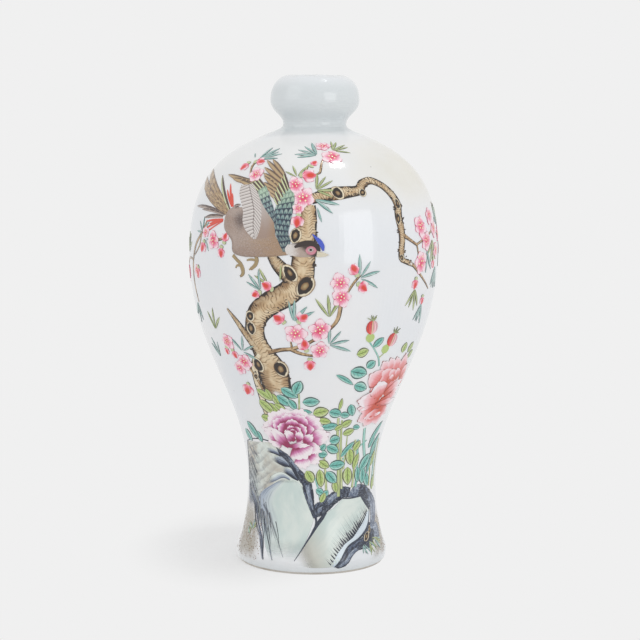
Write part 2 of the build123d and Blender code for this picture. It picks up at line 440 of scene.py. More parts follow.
def plain_mesh(name, mesh, tree, values):
    """Run a geometry tree on a mesh and keep its result as a plain mesh that rides on the vase."""
    piece = bpy.data.objects.new(name, mesh)
    bpy.context.scene.collection.objects.link(piece)
    modifier = piece.modifiers.new(name, "NODES")
    modifier.node_group = tree
    set_inputs(modifier, tree, values)
    result = bpy.data.meshes.new_from_object(piece.evaluated_get(bpy.context.evaluated_depsgraph_get()))
    piece.modifiers.clear()
    piece.data = result
    result.name = name
    bpy.data.meshes.remove(mesh)
    for attribute in [one for one in result.attributes if one.name in WORKING_ATTRIBUTES]:
        result.attributes.remove(attribute)
    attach(piece, "root")
    return piece


WORKING_ATTRIBUTES = ("sheet", "home", "size", "turn", "half", "path")


# Materials

class Brush:
    """What an enamel's colours come from: the place within a cell and a chance for each cell."""

    def __init__(self, tree, columns, rows):
        self.tree = tree
        place = Value.node(tree, "ShaderNodeUVMap", {"uv_map": UV_NAME})
        x, y = place.part(0) * columns, place.part(1) * rows
        inside = 1 - 2 * CELL_MARGIN
        self.across = (x.math("FRACT") - CELL_MARGIN) * (2 / inside) - 1
        self.along = (y.math("FRACT") - CELL_MARGIN) / inside
        self.cell = x.math("FLOOR") + y.math("FLOOR") * columns
        settings = {"noise_dimensions": "1D"}
        self.chance = Value.node(tree, "ShaderNodeTexWhiteNoise", settings, {"W": self.cell})
        self.off = abs(self.across)

    def cloud(self, across, along, detail=2.0, shift=0.0):
        """Soft noise stretched over a cell, so many times across and along it."""
        place = vector(self.tree, self.across * across, self.along * along, self.cell * 3.7 + shift)
        return noise(self.tree, place, 1.0, detail)

    def lines(self, count, thin, wander=0.0):
        """Fine lines that run along a cell, this many across half of it."""
        place = (self.across + wander) * (count * 0.5)
        return abs(place.math("FRACT") - 0.5).smooth(0.5 - thin, 0.5)

    def rim(self):
        """0 in the middle of a dab and 1 at its edge."""
        side = self.across * self.across
        tip = self.along ** 8
        return 1 - (1 - side) * (1 - tip)


def new_material(name):
    """An empty node material."""
    material = bpy.data.materials.new(name)
    material.use_nodes = True
    material.node_tree.nodes.clear()
    return material


def shade(material, sockets):
    """Give a material one Principled surface."""
    tree = material.node_tree
    surface = Value.node(tree, "ShaderNodeBsdfPrincipled", None, sockets)
    end = tree.nodes.new("ShaderNodeOutputMaterial")
    tree.links.new(surface.socket, end.inputs["Surface"])
    return material


def bump(tree, height):
    """A surface normal from a height in metres."""
    return Value.node(tree, "ShaderNodeBump", None, {"Height": height, "Distance": 1.0})


def enamel(name, cells, paint):
    """A fired enamel whose colours come from a paint function."""
    material = new_material(label(name))
    sockets = {"Roughness": 0.2, "IOR": 1.5, "Coat Weight": 0.3, "Coat Roughness": 0.06}
    sockets.update(paint(Brush(material.node_tree, *cells), bpy.context.scene.vase_paint))
    return shade(material, sockets)


def object_place(tree):
    """The place of a point on the vase, in metres."""
    return Value.node(tree, "ShaderNodeTexCoord", None, None, "Object")


# Where the glaze changes: heights and distances to the right, in millimetres
NECK_POOL, LIP_POOL, FOOT_POOL = (173, 176), (197, 191.5), (6, 1)
STAIN_START, STAIN_END, STAIN_SIDE = (140, 162), (176, 170), (8, 34)
WORN_LIP = (196, 197.1)


def glaze_material(name, settings):
    """Clear bluish glaze on white clay: bluer where it is thick, with a cream stain, pits and specks."""
    material = new_material(name)
    tree = material.node_tree
    place = object_place(tree)
    right, height = place.part(0) / MM, place.part(2) / MM
    thick = height.smooth(*NECK_POOL) * height.smooth(*LIP_POOL, 0.25, 1.0)
    thick = thick * 0.75 + height.smooth(*FOOT_POOL) * 0.5
    tone = noise(tree, place, 24.0, 2.0)
    stain = height.smooth(*STAIN_START) * height.smooth(*STAIN_END) * right.smooth(*STAIN_SIDE, 0.2, 1.0)
    stain = stain * noise(tree, place, 40.0, 4.0).smooth(0.2, 0.8, 0.35, 1.0) * 0.75
    bare = height.smooth(*WORN_LIP) * noise(tree, place, 300.0, 3.0).smooth(0.35, 0.6)
    cells = Value.node(tree, "ShaderNodeTexVoronoi", {"feature": "F1"},
                       {"Vector": place, "Scale": 210.0, "Randomness": 1.0})
    speck = cells.smooth(0.075, 0.03) * noise(tree, place, 45.0, 0.0).smooth(0.66, 0.7)
    wave = noise(tree, place, 70.0, 2.0) * 0.03 + noise(tree, place, 900.0, 1.0) * 0.003 - speck * 0.02
    colour = layers(
        settings.glaze, (tone.smooth(0.3, 0.7), settings.glaze_cool), (thick, settings.glaze_thick),
        (stain, settings.stain), (bare * 0.15, settings.bare_rim), (speck * 0.5, settings.speck))
    return shade(material, {"Base Color": colour, "Roughness": 0.12 + bare * 0.3, "IOR": 1.62,
                            "Normal": bump(tree, wave * MM)})


def clay_material(name, colour, stain, roughness):
    """Bare fired clay: fine grain, turning lines and stains."""
    material = new_material(name)
    tree = material.node_tree
    place = object_place(tree)
    grain = noise(tree, place, 1500.0, 3.0)
    cloud = noise(tree, place, 70.0, 4.0)
    rings = noise(tree, vector(tree, 0.0, 0.0, place.part(2) * 1600.0), 1.0, 2.0)
    mixed = (cloud.smooth(0.4, 0.75) * 0.7).blend(colour, stain)
    mixed = (grain.smooth(0.6, 0.8) * 0.25).blend(mixed, stain)
    grit = grain.smooth(0.2, 0.8, roughness - 0.1, roughness)
    lift = grain * 0.04 + rings * 0.03
    return shade(material, {"Base Color": mixed, "Roughness": grit, "IOR": 1.5,
                            "Normal": bump(tree, lift * MM)})


# Laying enamel

def set_attribute(mesh, name, vectors):
    """Store one vector for each point of a mesh."""
    data = mesh.attributes.new(name, "FLOAT_VECTOR", "POINT").data
    data.foreach_set("vector", [part for one in vectors for part in one])


# How far the upper face of each piece lies off the glaze, in millimetres
LIFT = {
    "trunk": 0.07, "limbs": 0.09, "pale_stem": 0.095, "twigs": 0.1, "knots": 0.15, "moss_dots": 0.12,
    "blossom_petals": 0.21, "stamens": 0.32, "buds": 0.21, "bud_cups": 0.26, "slim_leaves": 0.15,
    "rose_peony": 0.21, "coral_peony": 0.21, "rosebuds": 0.24, "rosebud_hips": 0.21,
    "rosebud_whiskers": 0.26, "peony_stems": 0.09, "broad_leaves": 0.15,
    "sand_wash": 0.02, "sand_grains": 0.06, "grass": 0.12,
    "rock_slope": 0.03, "rock_faces": 0.045, "rock_strip": 0.055, "rock_lobes": 0.06, "rock_shades": 0.06,
    "rock_facets": 0.065, "rock_comb": 0.07, "rock_cracks": 0.11, "rock_hollows": 0.15,
    "bird_feathers": 0.13, "bird_feet": 0.15, "bird_body": 0.2, "bird_wing_plain": 0.22,
    "bird_wing_panel": 0.23, "bird_wing_scales": 0.25, "bird_head": 0.27, "bird_cap": 0.3,
    "bird_beak": 0.31, "bird_collar": 0.33, "bird_crest": 0.33, "bird_eye_patch": 0.33,
    "bird_eye_ring": 0.355, "bird_eye": 0.38}
# How much higher a dab lies than the one under it, in millimetres
LAP, CROSSING, FRONT_RISE = 0.012, 0.01, 0.02
PEONY_STEP, FACET_STEP, FEATHER_STEP = 0.008, 0.003, 0.004
SINK = 0.05                 # how far a dab's lower face lies inside the glaze, in millimetres


def label(name):
    """A name as words."""
    return name.replace("_", " ").capitalize()


def lay(name, mesh, tree, paint, cells, grid, shape):
    """Run a paint tree and keep its enamel as a piece of the vase."""
    values = {"Outline": outline_object(), "Material": enamel(name, cells, paint),
              "Columns": float(cells[0]), "Rows": float(cells[1]), "Across": grid[0], "Along": grid[1],
              "Relief": bpy.context.scene.vase_sizes.relief, "Under": SINK * MM}
    values.update({key.replace("_", " ").title(): value for key, value in shape.items()})
    plain_mesh(name, mesh, tree, values)


class Dabs:
    """Petals, leaves or feathers of one piece: place, turn and size, in degrees and millimetres."""

    def __init__(self, name, seed=0):
        self.name = name
        self.random = random.Random(seed)
        self.rows = []

    def add(self, place, turn, length, width, rise=0.0, bend=0.0, cell=0):
        """A dab from its place on, higher than its piece's lift by a rise."""
        lift = (LIFT[self.name] + rise) * MM
        self.rows.append((place, math.radians(turn), length * MM, width * MM, bend, lift, cell))

    def between(self, base, tip, width, rise=0.0, bend=0.0, cell=0):
        """A dab from one place of the sheet to another."""
        up = (tip[1] - base[1]) / MM
        right = (tip[0] - base[0]) * canvas.radius((tip[1] + base[1]) / 2) / MM
        self.add(base, math.degrees(math.atan2(right, up)), math.hypot(right, up), width, rise, bend, cell)

    def centred(self, angle, height, turn, length, width, rise=0.0, bend=0.0, cell=0):
        """A dab about its middle, in degrees and millimetres."""
        base = canvas.ahead(canvas.place(angle, height), turn, -length / 2)
        self.add(base, turn, length, width, rise, bend, cell)

    def jitter(self, amount):
        return self.random.uniform(-amount, amount)

    def lay(self, breadth, paint, cells=(1, 1), grid=(5, 6), **shape):
        mesh = bpy.data.meshes.new(self.name)
        mesh.from_pydata([(0.0, 0.0, 0.0)] * len(self.rows), [], [])
        set_attribute(mesh, "home", [(*place, lift) for place, _, _, _, _, lift, _ in self.rows])
        set_attribute(mesh, "size", [(long, wide, bend) for _, _, long, wide, bend, _, _ in self.rows])
        set_attribute(mesh, "turn", [(turn, cell, 0.0) for _, turn, _, _, _, _, cell in self.rows])
        lay(self.name, mesh, dab_tree(self.name, breadth), paint, cells, grid, shape)


class Paths:
    """Strokes and washes of one piece, which follow points given in degrees and millimetres."""

    def __init__(self, name):
        self.name = name
        self.chains = []

    def stroke(self, points, cell=0, rise=0.0):
        """A stroke through points that also give its width."""
        places = [canvas.place(angle, height) for angle, height, _ in points]
        chain = []
        for index, (place, (_, _, width)) in enumerate(zip(places, points)):
            before, after = places[max(index - 1, 0)], places[min(index + 1, len(places) - 1)]
            radius = canvas.radius(place[1])
            right, up = (after[0] - before[0]) * radius, after[1] - before[1]
            reach = width * MM * 0.5 / math.hypot(right, up)
            chain.append((place, (up * reach / radius, -right * reach)))
        self.chains.append((chain, cell, rise))

    def patch(self, right, left, cell=0, rise=0.0):
        """A wash between its right and left edges, both given from its start to its end."""
        chain = []
        for one, other in zip(right, left):
            a, b = canvas.place(*one), canvas.place(*other)
            middle = ((a[0] + b[0]) / 2, (a[1] + b[1]) / 2)
            chain.append((middle, ((a[0] - b[0]) / 2, (a[1] - b[1]) / 2)))
        self.chains.append((chain, cell, rise))

    def lay(self, paint, columns=1, grid=(3, 16), **shape):
        mesh = bpy.data.meshes.new(self.name)
        points, edges, halves = [], [], []
        for chain, cell, rise in self.chains:
            edges += [(len(points) + step, len(points) + step + 1) for step in range(len(chain) - 1)]
            for place, half in chain:
                points.append((place[0] * SHEET_RADIUS, place[1], (LIFT[self.name] + rise) * MM))
                halves.append((half[0] * SHEET_RADIUS, half[1], cell))
        mesh.from_pydata(points, edges, [])
        set_attribute(mesh, "half", halves)
        lay(self.name, mesh, path_tree(self.name), paint, (columns, 1), grid, shape)


def lay_strokes(name, rows, paint, grid, columns=1, crossing=0.0, **shape):
    """Strokes of one kind, every other one raised where they cross."""
    paths = Paths(name)
    for index, points in enumerate(rows):
        paths.stroke(points, index % columns, crossing * (index % 2))
    paths.lay(paint, columns, grid, **shape)


def lay_washes(name, washes, paint, grid):
    """Washes of one kind between pairs of edges."""
    paths = Paths(name)
    for cell, edges in enumerate(washes):
        paths.patch(*edges, cell)
    paths.lay(paint, len(washes), grid, relief=0.0)


def lay_hollows(name, rows, grid, columns=1):
    """Knots or hollows: the angle, height, width, length and heading of each."""
    dabs = Dabs(name)
    for index, (angle, height, width, length, turn) in enumerate(rows):
        dabs.centred(angle, height, turn, length, width, cell=index % columns)
    dabs.lay(OVAL, paint_knot, (columns, 1), grid)


def along_points(points, share):
    """A place part of the way along a row of points."""
    step = share * (len(points) - 1)
    index = min(int(step), len(points) - 2)
    return [a + (b - a) * (step - index) for a, b in zip(points[index], points[index + 1])]


# How each enamel is painted: colours from the place within a dab or along a path

def paint_blossom(brush, ink):
    """Petals that are rose at the heart and nearly white at the rim, with fine rose lines and outlines."""
    open_part = brush.along + (brush.chance - 0.5) * 0.2 + (brush.cloud(1.4, 1.4) - 0.5) * 0.34
    streak = brush.lines(5.0, 0.22) * brush.along.smooth(0.82, 0.35) * 0.6
    rim = brush.rim().smooth(0.7, 0.86) * brush.cloud(2.0, 2.0, 2.0, 3.0).smooth(0.3, 0.5, 0.5, 1.0)
    return {"Base Color": layers(
        ink.petal_heart, (open_part.smooth(0.08, 0.5), ink.petal),
        (open_part.smooth(0.4, 0.78), ink.petal_pale), (streak, ink.petal_heart), (rim, ink.petal_line))}


def paint_bud(brush, ink):
    """Buds: an orange red petal in front, pink outlined ones behind it in the second row of cells."""
    back = brush.cell > 3.5
    up = (brush.along - 0.6) * 1.5
    side = brush.across * brush.along.smooth(0.0, 0.6, 0.3, 1.0)
    out = (side * side + up * up).math("SQRT") + (brush.cloud(1.2, 1.2) - 0.5) * 0.6
    front = out.smooth(0.3, 0.75).blend(ink.bud, ink.bud_edge)
    front = out.smooth(0.7, 1.05).blend(front, ink.petal_pale)
    rear = (brush.along + (brush.cloud(1.4, 1.4) - 0.5) * 0.5).smooth(0.2, 0.8)
    rear = rear.blend(ink.petal_heart, ink.petal_pale)
    rim = brush.rim().smooth(0.7, 0.9) * back * 0.8
    return {"Base Color": rim.blend(back.blend(front, rear), ink.petal_line)}


def paint_stamen(brush, ink):
    """Raised dots of pale yellow."""
    return {"Base Color": brush.rim().smooth(0.5, 1.0).blend(ink.stamen, ink.stamen_edge)}


def leaf_colours(brush, cool, warm):
    """Cool leaves in the first row of cells and warm ones in the second: wash, light and line."""
    second = brush.cell > 3.5
    return [second.blend(*pair) for pair in zip(cool, warm)]


def paint_slender_leaf(brush, ink):
    """Slim leaves: a wash on one side of the rib, a pale side and broken dark edges."""
    wash, light, line = leaf_colours(brush, (ink.blade, ink.blade_light, ink.blade_line),
                                     (ink.olive, ink.olive_light, ink.olive_line))
    pool = (brush.across * (brush.chance - 0.5) * 2.4 + brush.cloud(1.4, 2.5) - 0.5).smooth(-0.3, 0.4)
    colour = pool.blend(wash, light)
    rib = brush.off.smooth(0.2, 0.06) * 0.6
    edge = brush.off.smooth(0.46, 0.8) * brush.cloud(0.8, 5.0, 1.0, 4.0).smooth(0.3, 0.55, 0.35, 1.0)
    return {"Base Color": rib.math("MAXIMUM", edge).blend(colour, line)}


def paint_broad_leaf(brush, ink):
    """Broad leaves: a wash inside a pale margin, a rib, a few veins and an ink outline."""
    wash, light, line = leaf_colours(brush, (ink.teal, ink.teal_light, ink.teal_line),
                                     (ink.lime, ink.olive_light, ink.olive_line))
    rim = brush.rim()
    inside = rim + (brush.cloud(1.4, 1.8) - 0.5) * 0.7 + brush.across * (brush.chance - 0.5) * 0.7
    pool = brush.cloud(1.2, 1.6, 2.0, 6.0).smooth(0.52, 0.75) * inside.smooth(0.7, 0.3) * 0.3
    rib = brush.off.smooth(0.11, 0.03) * brush.along.smooth(1.0, 0.9)
    slant = (brush.along * 4.0 - brush.off * 1.3).math("FRACT") - 0.5
    vein = abs(slant).smooth(0.1, 0.03) * brush.off.smooth(0.75, 0.45) * 0.6
    edge = rim.smooth(0.5, 0.74)
    mark = rib.math("MAXIMUM", vein).math("MAXIMUM", edge)
    return {"Base Color": layers(light, (inside.smooth(0.7, 0.05), wash), (pool, line), (mark * 0.9, line))}


def paint_bark(brush, ink, rough=0.0):
    """Ochre bark, light in the middle, with curved strokes across it and ragged ink edges."""
    tone = brush.cloud(1.2, BARK_MARKS * 0.2, 3.0)
    shadow = (brush.off + brush.across * 0.35 + (tone - 0.5) * 1.6).smooth(0.2, 1.2) * 0.8
    wave = brush.along * BARK_MARKS + brush.across * brush.across * 1.2
    wave = wave + brush.cloud(0.7, BARK_MARKS * 0.14, 2.0, 2.0) * 6
    thin = abs(wave.math("FRACT") - 0.5)
    patch = brush.cloud(1.6, BARK_MARKS * 0.3, 2.0, 9.0)
    mark = thin.smooth(0.24, 0.04) * (patch + brush.off * 0.15 + rough).smooth(0.42, 0.6)
    dark = thin.smooth(0.34, 0.06) * (brush.off + (patch - 0.5) * 1.8 + rough * 2).smooth(0.55, 0.95)
    ragged = brush.off + (brush.cloud(1.0, 40.0, 4.0, 5.0) - 0.5) * (0.7 + rough * 6)
    edge = ragged.smooth(0.8 - rough, 0.92 - rough * 0.6)
    fade = (brush.along + (patch - 0.5) * 0.1).smooth(1.0, 0.95)
    colour = layers(
        ink.bark_light, (tone.smooth(0.35, 0.65), ink.bark), (shadow, ink.bark_shadow),
        (mark * 0.8, ink.bark_shadow), (dark * 0.9, ink.bark_line), (edge, ink.bark_line))
    return {"Base Color": colour, "Roughness": 0.26, "Alpha": fade}


def paint_limb(brush, ink):
    """The rougher bark of the limbs."""
    return paint_bark(brush, ink, 0.14)


def paint_pale_stem(brush, ink):
    """A pale stem between ink edges, with dark hollows and brown stains."""
    tone = brush.cloud(0.8, 8.0, 3.0)
    hollow = brush.cloud(1.3, 16.0, 1.0, 3.0).smooth(0.6, 0.68)
    off = brush.off + (brush.cloud(1.0, 30.0, 2.0, 5.0) - 0.5) * 0.4
    return {"Base Color": layers(
        ink.bark_cream, (tone.smooth(0.4, 0.7), ink.bark), (hollow, ink.bark_line),
        (off.smooth(0.66, 0.86), ink.bark_line))}


def paint_twig(brush, ink):
    """Thin twigs: brown with a dark under side."""
    tone = brush.cloud(0.8, 9.0, 3.0)
    colour = tone.smooth(0.35, 0.65).blend(ink.bark, ink.bark_shadow)
    dark = (brush.off + brush.across * 0.3 + (tone - 0.5) * 1.2).smooth(0.45, 0.8)
    return {"Base Color": (dark * 0.9).blend(colour, ink.bark_line)}


def paint_knot(brush, ink):
    """A knot in the bark: a hollow that pales to its middle, a thick uneven ink ring and a cream halo."""
    up = brush.along * 2 - 1
    x = brush.across * (1 - up * up).math("SQRT")
    out = (x * x + up * up).math("SQRT")
    ring = out + (brush.cloud(1.0, 1.6, 2.0) - 0.5) * 0.8 + x * 0.1
    rim = (out + (brush.cloud(1.4, 2.0, 2.0, 4.0) - 0.5) * 0.4).smooth(0.84, 0.95)
    colour = layers(
        ink.knot, (ring.smooth(0.0, 0.36), ink.bark_shadow), (ring.smooth(0.28, 0.38), ink.bark_line),
        (ring.smooth(0.72, 0.8), ink.bark_cream), (rim * 0.8, ink.bark_shadow))
    return {"Base Color": colour, "Alpha": out.smooth(1.0, 0.95)}


PEONY_WHITE = srgb(250, 240, 244)
BARK_MARKS = 74.0
OVAL = ((0.0, 0.0), (0.12, 0.62), (0.3, 0.92), (0.5, 1.0), (0.7, 0.92), (0.88, 0.62), (1.0, 0.0))
PETAL = ((0.0, 0.22), (0.25, 0.6), (0.6, 1.0), (0.85, 0.92), (1.0, 0.55))
LEAF = ((0.0, 0.05), (0.2, 0.78), (0.45, 1.0), (0.75, 0.76), (1.0, 0.0))
SLIM_LEAF = ((0.0, 0.12), (0.3, 0.85), (0.55, 1.0), (0.8, 0.7), (1.0, 0.0))
BROAD_PETAL = ((0.0, 0.3), (0.3, 0.72), (0.7, 1.0), (0.9, 0.95), (1.0, 0.72))
TAPER = ((0.0, 1.0), (0.3, 0.85), (0.7, 0.5), (1.0, 0.05))


# The blossoming tree: degrees to the right of the front, millimetres above the painting's foot, width

TRUNK = [
    (-2, 150.5, 5), (-2.6, 145, 7.2), (-3.8, 137, 8.6), (-4.2, 129, 9), (-5.5, 122.5, 10), (-11, 117, 9.6),
    (-19, 113, 9.4), (-25.5, 108.5, 9.2), (-28.5, 102.5, 8.4), (-27.6, 96.5, 8.2), (-25, 91.4, 10),
    (-22.6, 86, 13), (-21.6, 80, 12.4), (-21, 74, 10)]
LIMBS = [
    [(-18.5, 131.5, 3.6), (-15.5, 128, 5), (-11.5, 124.5, 6), (-6.5, 120, 7)],
    [(-1, 152.5, 4), (4, 153.8, 4.8), (11.5, 154.8, 5.4), (18, 155.4, 4.6), (22.5, 156, 4.2),
     (25, 158.3, 3.8), (30, 159.4, 3.3), (35.5, 157.8, 3.1), (40, 154.6, 3.4), (42.6, 150.5, 3.9),
     (42, 145.6, 3.8), (43, 138.5, 3.4), (42.3, 130, 3), (46, 128.2, 2.3), (50.5, 126.6, 1.5)],
    [(-26.5, 91.5, 4.2), (-31, 96.5, 3.6), (-35, 101, 3), (-38.5, 105, 2.2), (-43.5, 109.8, 0.8)]]
PALE_STEM = [
    (-28, 92, 2.6), (-32.4, 88, 3.2), (-33.8, 82, 3.4), (-33.4, 75, 3.2), (-33, 68, 2.6), (-32, 63, 1.4)]
TWIGS = [
    [(43.2, 138.8, 2), (48, 136.6, 1.3), (53, 134.4, 1.2)],
    [(53, 134.6, 1), (54, 131, 0.8), (54, 127.6, 0.6)],
    [(49.6, 127, 1.4), (58, 121.5, 1), (66, 116.5, 0.6)],
    [(-31, 77.2, 1.6), (-34, 82.5, 1.3), (-37.5, 86.5, 1), (-41, 89, 0.6)],
    [(-34.4, 83, 1), (-36.5, 86.4, 0.5)],
    [(-23, 93, 2), (-16, 94.5, 1.7), (-10.5, 95, 1.6), (-4, 96.8, 1.4), (2, 99.5, 1.3), (8, 103.2, 1.3),
     (11.5, 107, 1.6), (12.5, 112, 1.7)],
    [(-11, 95, 1.8), (-6.5, 93.4, 1.4), (-1.5, 92.6, 1.1), (3, 92.2, 0.7)],
    [(-10, 95, 1), (-10.6, 98, 0.6)], [(15.5, 117.6, 0.9), (18, 121, 1), (21, 124, 0.8)],
    [(-57, 143, 0.8), (-61, 138, 1.1), (-67, 133, 1.3), (-71, 126, 1.3), (-71.5, 118, 1), (-69, 110, 0.7)],
    [(-61, 138, 0.8), (-62.6, 133, 0.7), (-68, 129, 0.5)],
    [(-50, 135.8, 0.8), (-45, 136.4, 1.1), (-41.5, 138.4, 0.8)],
    [(-36, 161.6, 0.6), (-37.4, 164.6, 1.1), (-35.4, 167, 0.9), (-31, 169, 0.4)],
    [(0.5, 161.6, 0.7), (3.2, 162.4, 1), (4.4, 165.5, 0.9), (6.5, 168.4, 0.6)],
    [(79, 150, 0.7), (83, 144, 1.2), (85, 135, 1.2), (84, 124, 0.7)],
    [(-71, 127, 0.9), (-79, 127, 0.9), (-87, 123.5, 0.8), (-95, 117, 0.5)],
    [(53, 134.6, 1), (62, 137, 1), (72, 139.4, 0.9), (85, 135, 0.8), (94, 129, 0.5)]]
# Knots: angle, height, width, length and heading
KNOTS = [
    (-7.6, 139, 4.6, 6.4, 20), (-9.9, 124.8, 5, 8.2, -40), (-3.2, 119.8, 6.6, 9.6, 42),
    (-29.8, 107.4, 4, 4.8, 0), (-30.2, 102.6, 4.4, 6.2, 5), (-30.2, 87.8, 4.6, 7.4, -20),
    (-17, 86.7, 6.2, 7.8, -12), (11.6, 154.9, 4.8, 6.4, -40), (24, 154.9, 3.4, 3.2, 60),
    (42.8, 150.6, 2.6, 5, -15), (41.6, 144.8, 2.6, 5, 10), (-33.6, 82.6, 2.2, 3.2, 0),
    (42.4, 130, 2.6, 2.6, 0)]
MOSS_DOTS = 60              # on the trunk, and as many on the long limb
TRUNK_RELIEF = 0.05         # height of the trunk's middle over its edges, in millimetres
PETAL_COUNT = STAMEN_COUNT = 5
STAMEN_SHARE = 0.085        # size of a stamen against its blossom
BUD_SCALE = 0.88
CUP_SPREAD = 0.8            # half the spread of a bud's cup, in millimetres
SPRAY_GAP = 0.6             # from the middle of a spray to where its leaves start, in millimetres
BLOSSOMS = [
    (-5, 152.8, 9), (-9, 157.8, 7), (6.5, 172, 6.6), (11.5, 168, 9), (-32, 161.2, 7), (-50.5, 135.5, 7.4),
    (-57, 138.5, 5), (57, 141.5, 9), (61.5, 135.5, 8), (56.5, 127.6, 9.4), (12, 121, 8.2),
    (12.6, 115.6, 7.6), (-8, 101.2, 8.6), (3.4, 102.8, 8.8), (3.8, 94.6, 7.4), (-48, 96, 7),
    (-39.2, 88.2, 7.6), (-44, 85.6, 6.4), (-66, 123, 5), (-7, 149, 5), (68, 145, 7), (72, 140, 7),
    (74, 131, 7), (-84, 121, 6), (-92, 118, 5), (82, 137, 6), (90, 131, 5.6)]
# Buds: angle, height, size and heading
BUDS = [
    (-43, 164, 4.6, 200), (-33.5, 166.2, 4.6, 80), (0, 165.8, 3.4, 30), (-2.5, 161.2, 6.4, 90),
    (-7, 144.2, 5.4, 190), (-42.5, 137.2, 4.2, 10), (-45, 131.2, 4.6, 190), (18, 126.2, 5.2, -30),
    (22.5, 119.4, 5, 120), (52.8, 119, 4.6, 185), (-15.5, 107.2, 5.4, -50), (-4.5, 107.8, 5, 40),
    (-4, 96.8, 5.2, -20), (-1.2, 88.6, 5.4, 180), (-26, 116, 4, -120), (-20.5, 119.6, 5, -60),
    (-59, 132.5, 5, 200), (-64.5, 122, 5, 190), (61, 112, 3.6, 180), (-43, 76.4, 6.4, 200),
    (-45, 90.8, 4, 160), (-51, 91.8, 3.4, 200), (70, 126, 4, 180), (-96, 114, 4, 200), (95, 126, 4, 170)]
COOL, WARM = 0, 1
# Each spray: angle, height, heading, leaves, length, spread and colour
SPRAYS = [
    (-36, 167, 52, 5, 9, 62, COOL), (-39.5, 167.2, -30, 1, 4, 0, COOL),
    (2.2, 168.8, -62, 5, 8.4, 84, COOL), (13, 170.4, 50, 5, 8, 90, WARM),
    (-8.6, 160.6, -22, 3, 6, 90, WARM), (-5.6, 160.4, 18, 1, 6.4, 0, WARM),
    (1, 155.8, 60, 5, 7, 100, WARM), (0.2, 152.6, 116, 2, 9.6, 24, COOL), (1.6, 150, 164, 1, 6, 0, COOL),
    (-23.4, 117.6, -38, 3, 7.6, 54, COOL), (-19.6, 119.8, -40, 2, 7.6, 26, WARM),
    (-14.4, 121, 6, 1, 6.4, 0, WARM), (20.6, 122.8, 54, 4, 8.4, 118, COOL),
    (7.6, 107.6, -6, 3, 9, 54, WARM), (-8.8, 106, 24, 4, 8.8, 76, COOL), (8, 96.8, 56, 4, 8.4, 106, COOL),
    (-56, 100, 4, 3, 8.6, 60, WARM), (-38.6, 92.6, 36, 4, 7.4, 150, COOL),
    (-60, 88.4, -16, 3, 8, 44, COOL), (-60, 138, -20, 4, 6, 120, COOL), (-57, 136, 120, 2, 5, 50, COOL),
    (53, 117.4, 186, 4, 8, 60, WARM), (61, 111, 190, 4, 8.6, 40, COOL), (80, 149, 176, 4, 8.6, 60, COOL),
    (69, 136, 190, 4, 9, 60, WARM), (74, 125, 186, 5, 9, 60, COOL), (62, 132, 172, 4, 8, 50, COOL),
    (-71, 110, 200, 4, 8, 60, COOL), (-80, 129, 10, 4, 8, 80, WARM), (-96, 117, 240, 4, 8, 70, COOL),
    (80, 142, 30, 4, 8, 80, WARM), (95, 129, 120, 4, 8, 70, COOL)]


def make_tree():
    """The old trunk, its limbs, twigs, knots and dots of moss."""
    lay_strokes("trunk", [TRUNK], paint_bark, (9, 100), relief=TRUNK_RELIEF * MM)
    lay_strokes("limbs", LIMBS, paint_limb, (5, 60), len(LIMBS))
    lay_strokes("pale_stem", [PALE_STEM], paint_pale_stem, (5, 36))
    lay_strokes("twigs", TWIGS, paint_twig, (3, 22), 4, CROSSING)
    lay_hollows("knots", KNOTS, (9, 11), 4)
    moss = Dabs("moss_dots", 4)
    for index in range(2 * MOSS_DOTS):
        path = LIMBS[1] if index < MOSS_DOTS else TRUNK
        angle, height, width = along_points(path, moss.random.uniform(0.05, 0.95))
        side = 1 if index % 3 else -1
        reach = side * width * moss.random.uniform(0.4, 0.5)
        place = canvas.shift(canvas.place(angle, height), reach, moss.jitter(1.0))
        turn = 90 * side + moss.jitter(50)
        moss.add(place, turn, moss.random.uniform(0.5, 1.2), moss.random.uniform(0.35, 0.6))
    moss.lay(OVAL, paint_plain("bark_line", "bark_shadow", 0.2), grid=(3, 5))


def make_blossoms():
    """Five-petalled blossoms with stamens."""
    petals, stamens = Dabs("blossom_petals", 11), Dabs("stamens", 12)
    for index, (angle, height, size) in enumerate(BLOSSOMS):
        size *= bpy.context.scene.vase_sizes.flower
        centre = canvas.place(angle, height)
        start = petals.random.uniform(0, 360 / PETAL_COUNT)
        for petal in range(PETAL_COUNT):
            turn = start + petal * 360 / PETAL_COUNT + petals.jitter(9)
            reach = size * (0.52 + petals.jitter(0.06))
            breadth = size * (0.48 + petals.jitter(0.06))
            rise = FRONT_RISE * (index % 3) + LAP * (petal % 3)
            petals.add(centre, turn, reach, breadth, rise, petals.jitter(0.1), petals.random.randrange(8))
        for dot in range(STAMEN_COUNT + 1):
            out = size * stamens.random.uniform(0.13, 0.22) if dot < STAMEN_COUNT else 0.0
            place = canvas.ahead(centre, start + (dot + 0.5) * 360 / STAMEN_COUNT, out)
            stamens.add(place, 0, size * STAMEN_SHARE, size * STAMEN_SHARE)
    petals.lay(PETAL, paint_blossom, (4, 2), (7, 7), round=0.28, notch=0.06)
    stamens.lay(OVAL, paint_stamen, grid=(3, 5))


